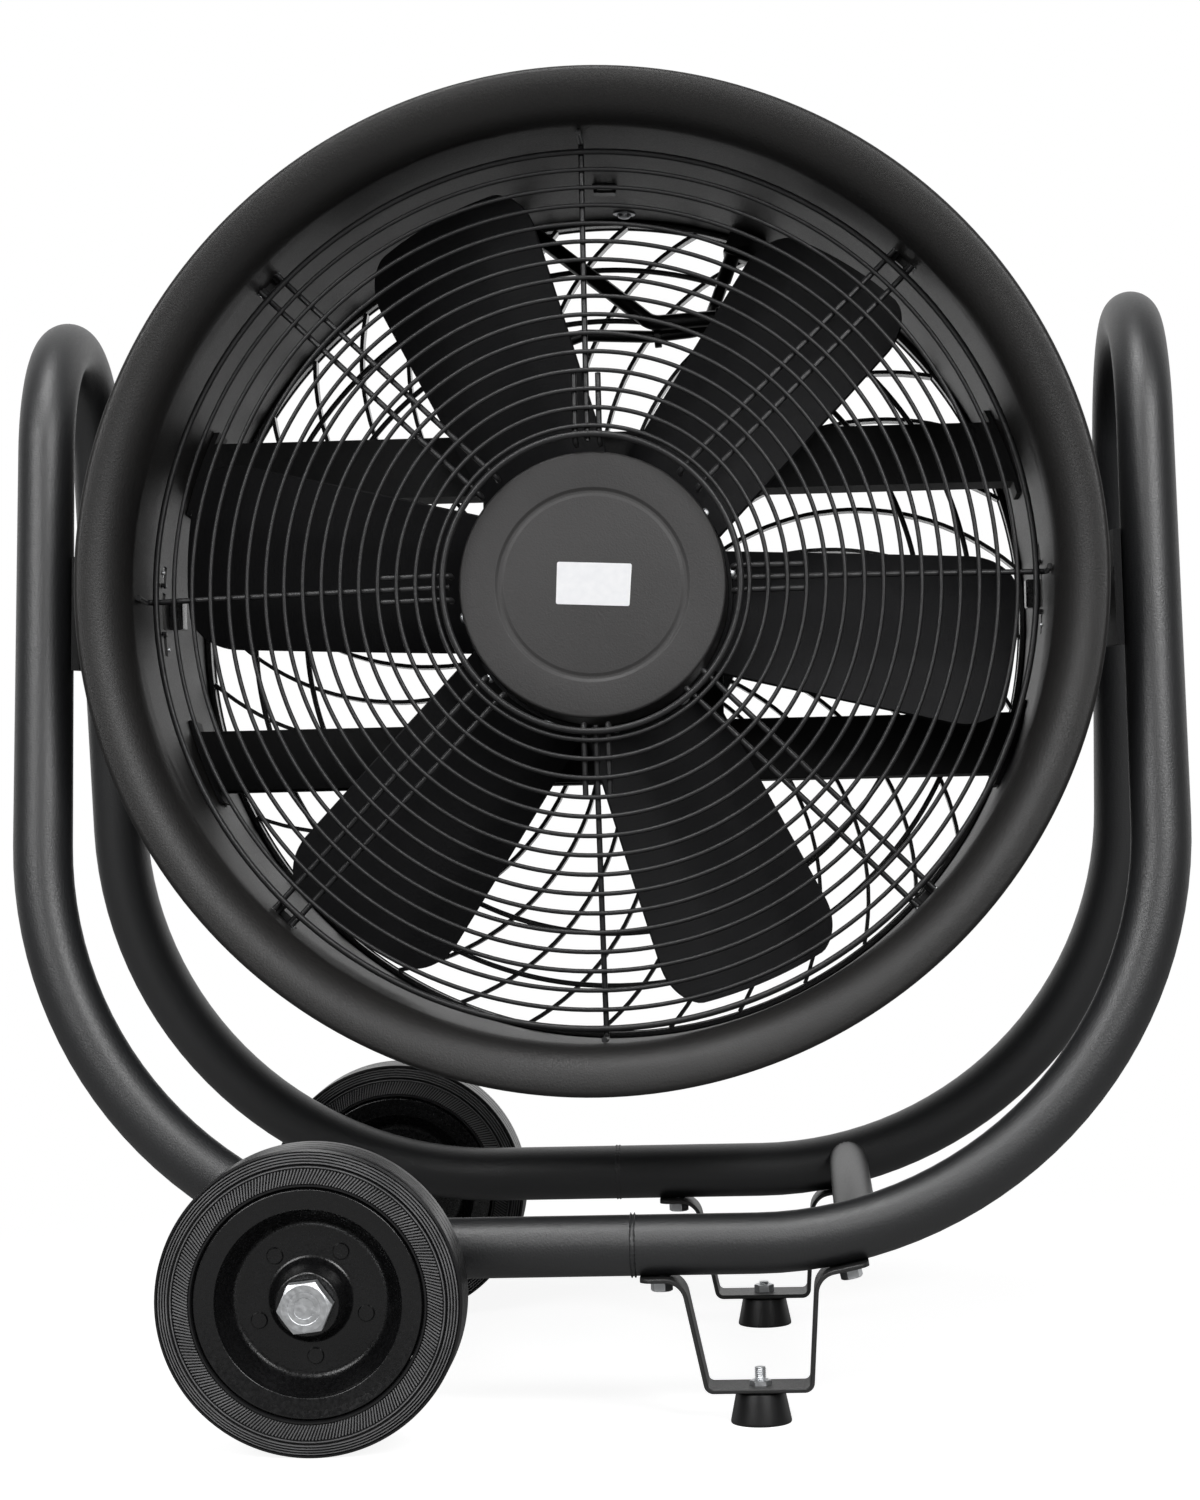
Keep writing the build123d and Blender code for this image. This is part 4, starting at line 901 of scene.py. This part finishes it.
# ---------------- rotor
CAN_INSIDE = CAN_R - 3
can = spun([(0.4, CAN_Z), (46.4, CAN_Z), (48.0, 98.9), (49.4, 98.9), (51.0, 100), (CAN_R, 100), (CAN_R, -1),
            (CAN_INSIDE, -1), (CAN_INSIDE, 97), (0.4, 97)], [0, 1, 0.8, 0.8, 1, 1.6, 0.5, 0.5, 2, 0])
solid("motor_can_spun", can, DRUM, CAN_COAT, "rotor", ("motor_can",))
band = spun([(CAN_R + 0.1, 2), (BLADE_ROOT_R, 2), (BLADE_ROOT_R, 52), (CAN_R + 0.1, 52)], 0.5, 160)
solid("blade_ring_rolled", band, DRUM, BLADE_COAT, "rotor", ("blade_ring",))
shaft = spun([(0.3, -4.8), (7.5, -4.8), (7.5, 97), (0.3, 97)], [0, 0.6, 0.6, 0], 64)
solid("motor_shaft_ground", shaft, DRUM, ZINC, "rotor", ("motor_shaft",), 28)

BLADE_HALF, BLADE_TAPER, TIP_ROUND = 50, 15.5, 26
BLADE_Z, BLADE_SHEET, BLADE_TURN = 27, 2, 52
FOLD_RISE, FOLD_SLOPE, FOLD_START, FOLD_HALF = 6.6, 9.4, 0.3, 66


def blade_pitch(reach):
    """33 degrees near the hub and 24 at the tip."""
    return math.radians(33 - 9 * (reach - 43.4) / 190.1)


def blade_shape(angle):
    """A twisted, cambered sheet, wider towards its rounded tip."""
    rows, columns = 44, 22
    out, along = radial(angle)
    span = BLADE_TIP_R - BLADE_ROOT_R
    near = []
    far = []
    for i in range(rows + 1):
        reach = BLADE_ROOT_R + span * (1 - (1 - i / rows) ** 1.6)
        half = BLADE_HALF - BLADE_TAPER / span * (BLADE_TIP_R - reach)
        corner = reach - (BLADE_TIP_R - TIP_ROUND)
        if corner > 0:
            half += math.sqrt(max(TIP_ROUND ** 2 - corner ** 2, 0)) - TIP_ROUND
        for k in range(columns + 1):
            side = (-1 + 2 * k / columns) * half
            root_x = math.sqrt(BLADE_ROOT_R ** 2 - side ** 2)
            x = root_x + (reach - BLADE_ROOT_R) * (BLADE_TIP_R - root_x) / span
            x -= max(0.0, math.hypot(x, side) - BLADE_TIP_R)
            pitch = blade_pitch(x)
            wide = FOLD_HALF / math.cos(pitch)
            chord = side / math.cos(pitch)
            for _ in range(4):
                rise = FOLD_RISE - FOLD_SLOPE * max(abs(chord / wide) - FOLD_START, 0)
                chord = (side - rise * math.sin(pitch)) / math.cos(pitch)
            normal = UP * math.cos(pitch) + along * math.sin(pitch)
            point = out * x + along * (chord * math.cos(pitch)) + UP * (BLADE_Z - chord * math.sin(pitch))
            near.append(point + normal * rise)
            far.append(point + normal * (rise + BLADE_SHEET))
    faces = []
    width = columns + 1
    base = len(near)
    for i in range(rows):
        for k in range(columns):
            a = i * width + k
            faces.append((a, a + width, a + width + 1, a + 1))
            faces.append((base + a, base + a + 1, base + a + width + 1, base + a + width))
    border = [i * width for i in range(rows + 1)]
    border += [rows * width + k for k in range(1, width)]
    border += [i * width + columns for i in range(rows - 1, -1, -1)]
    border += [k for k in range(columns - 1, 0, -1)]
    for a, b in zip(border, border[1:] + border[:1]):
        faces.append((a, b, base + b, base + a))
    return near + far, faces


fixings = []
for number in range(6):
    angle = BLADE_TURN + 60 * number
    solid(f"blade_{number + 1}_pressed", blade_shape(angle), DRUM, BLADE_COAT, "rotor",
          (f"fan_blade_{number + 1}",), 45)
    for aside in (-16, 16):
        out = radial(angle + aside)[0]
        fixings.append(placed(dome(3.1, 2.4), aimed(out * BLADE_ROOT_R + UP * 47, out)))
solid("blade_screws", joined(*fixings), DRUM, ZINC, "rotor")


# a thin blank label on the can's face, slightly skewed
corners = [Vector((x, y, 0)) for x, y in ((-18.1, 12.3), (20.8, 10.3), (19.1, -11.9), (-19.2, -9.8))]
edge = rounded(corners, 1.0, 20.0, True)
label = skin([[point + UP * z for point in edge] for z in (CAN_Z + 0.02, CAN_Z + 0.2)])
solid("blank_label", label, DRUM, LABEL, "rotor")


# ---------------- studio
def light_rays(tree):
    """The rays' kinds, and 1 for a ray that is mirrored or passes through."""
    rays = add(tree, "ShaderNodeLightPath").outputs
    return rays, add(tree, "ShaderNodeMath", {0: rays["Is Glossy Ray"], 1: rays["Is Transmission Ray"]},
                     operation="MAXIMUM")


def studio_world():
    """White surroundings behind the object and a dim room in front, as surfaces mirror them."""
    world = bpy.data.worlds.new("studio")
    bpy.context.scene.world = world
    world.use_nodes = True
    tree = world.node_tree
    tree.nodes.clear()
    rays, mirrored = light_rays(tree)
    way = add(tree, "ShaderNodeSeparateXYZ", {0: add(tree, "ShaderNodeTexCoord").outputs["Generated"]})
    room = add(tree, "ShaderNodeMapRange", {"Value": way.outputs["Y"], "From Min": 0.1, "From Max": 0.7,
                                            "To Min": 0.12, "To Max": 1.0})
    level = add(tree, "ShaderNodeMapRange", {"Value": mirrored, "To Min": 0.1, "To Max": 1.0})
    shown = add(tree, "ShaderNodeMath", {0: room, 1: level}, operation="MULTIPLY")
    shown = add(tree, "ShaderNodeMath", {0: shown, 1: rays["Is Camera Ray"]}, operation="MAXIMUM")
    sky = add(tree, "ShaderNodeBackground", {"Color": linear("#ffffff"), "Strength": shown})
    add(tree, "ShaderNodeOutputWorld", {"Surface": sky})


def studio_floor():
    """A floor that the camera sees as white, with a faint shadow near the object, and that mirrors little."""
    material, tree, shader, place = surface("white_studio_floor")
    rays, mirrored = light_rays(tree)
    depth = add(tree, "ShaderNodeSeparateXYZ", {0: place})
    behind = add(tree, "ShaderNodeMapRange", {"Value": depth.outputs["Y"], "From Min": 1.0, "From Max": 3.0,
                                              "To Min": 0.12, "To Max": 1.0}, interpolation_type="SMOOTHSTEP")
    mirror_part = add(tree, "ShaderNodeMath", {0: mirrored, 1: behind}, operation="MULTIPLY")
    seen = add(tree, "ShaderNodeMath", {0: mirror_part, 1: rays["Is Camera Ray"]}, operation="MAXIMUM")
    far = add(tree, "ShaderNodeVectorMath", {0: place}, operation="LENGTH").outputs["Value"]
    far = add(tree, "ShaderNodeMapRange", {"Value": far, "From Min": 0.3, "From Max": 0.75},
              interpolation_type="SMOOTHSTEP")
    glow = add(tree, "ShaderNodeEmission", {"Color": linear("#ffffff"), "Strength": 1.0})
    base_glow = add(tree, "ShaderNodeEmission", {"Color": linear("#ffffff"), "Strength": 0.9})
    lit = add(tree, "ShaderNodeBsdfDiffuse", {"Color": [0.4, 0.4, 0.4, 1]})
    near = add(tree, "ShaderNodeAddShader", {0: base_glow, 1: lit})
    shown = add(tree, "ShaderNodeMixShader", {0: far, 1: near, 2: glow})
    unseen = add(tree, "ShaderNodeBsdfDiffuse", {"Color": [0.22, 0.22, 0.22, 1]})
    mix = add(tree, "ShaderNodeMixShader", {0: seen, 1: unseen, 2: shown})
    feed(tree.nodes["Material Output"], {"Surface": mix})
    tree.nodes.remove(shader)
    mesh = bpy.data.meshes.new("floor")
    mesh.from_pydata([(-6, -6, 0), (6, -6, 0), (6, 8, 0), (-6, 8, 0)], [], [(0, 1, 2, 3)])
    mesh.materials.append(material)
    linked("floor", mesh)


def studio_lamps():
    """Two broad lamps at the camera's sides and one above, all aimed at the object."""
    lamps = (("key", (-1.35, -1.9, 1.5), 27, 1.1), ("fill", (1.05, -1.9, 1.5), 31, 1.0),
             ("top", (-0.3, -0.8, 2.4), 24, 0.9))
    for name, spot, power, size in lamps:
        data = bpy.data.lights.new(name, "AREA")
        data.energy = power
        data.size = size
        lamp = linked(name, data)
        lamp.location = spot
        aim = Vector((0, 0, 0.35)) - Vector(spot)
        lamp.rotation_euler = aim.to_track_quat("-Z", "Y").to_euler()


studio_world()
studio_floor()
studio_lamps()
bpy.context.scene.view_settings.view_transform = "Standard"
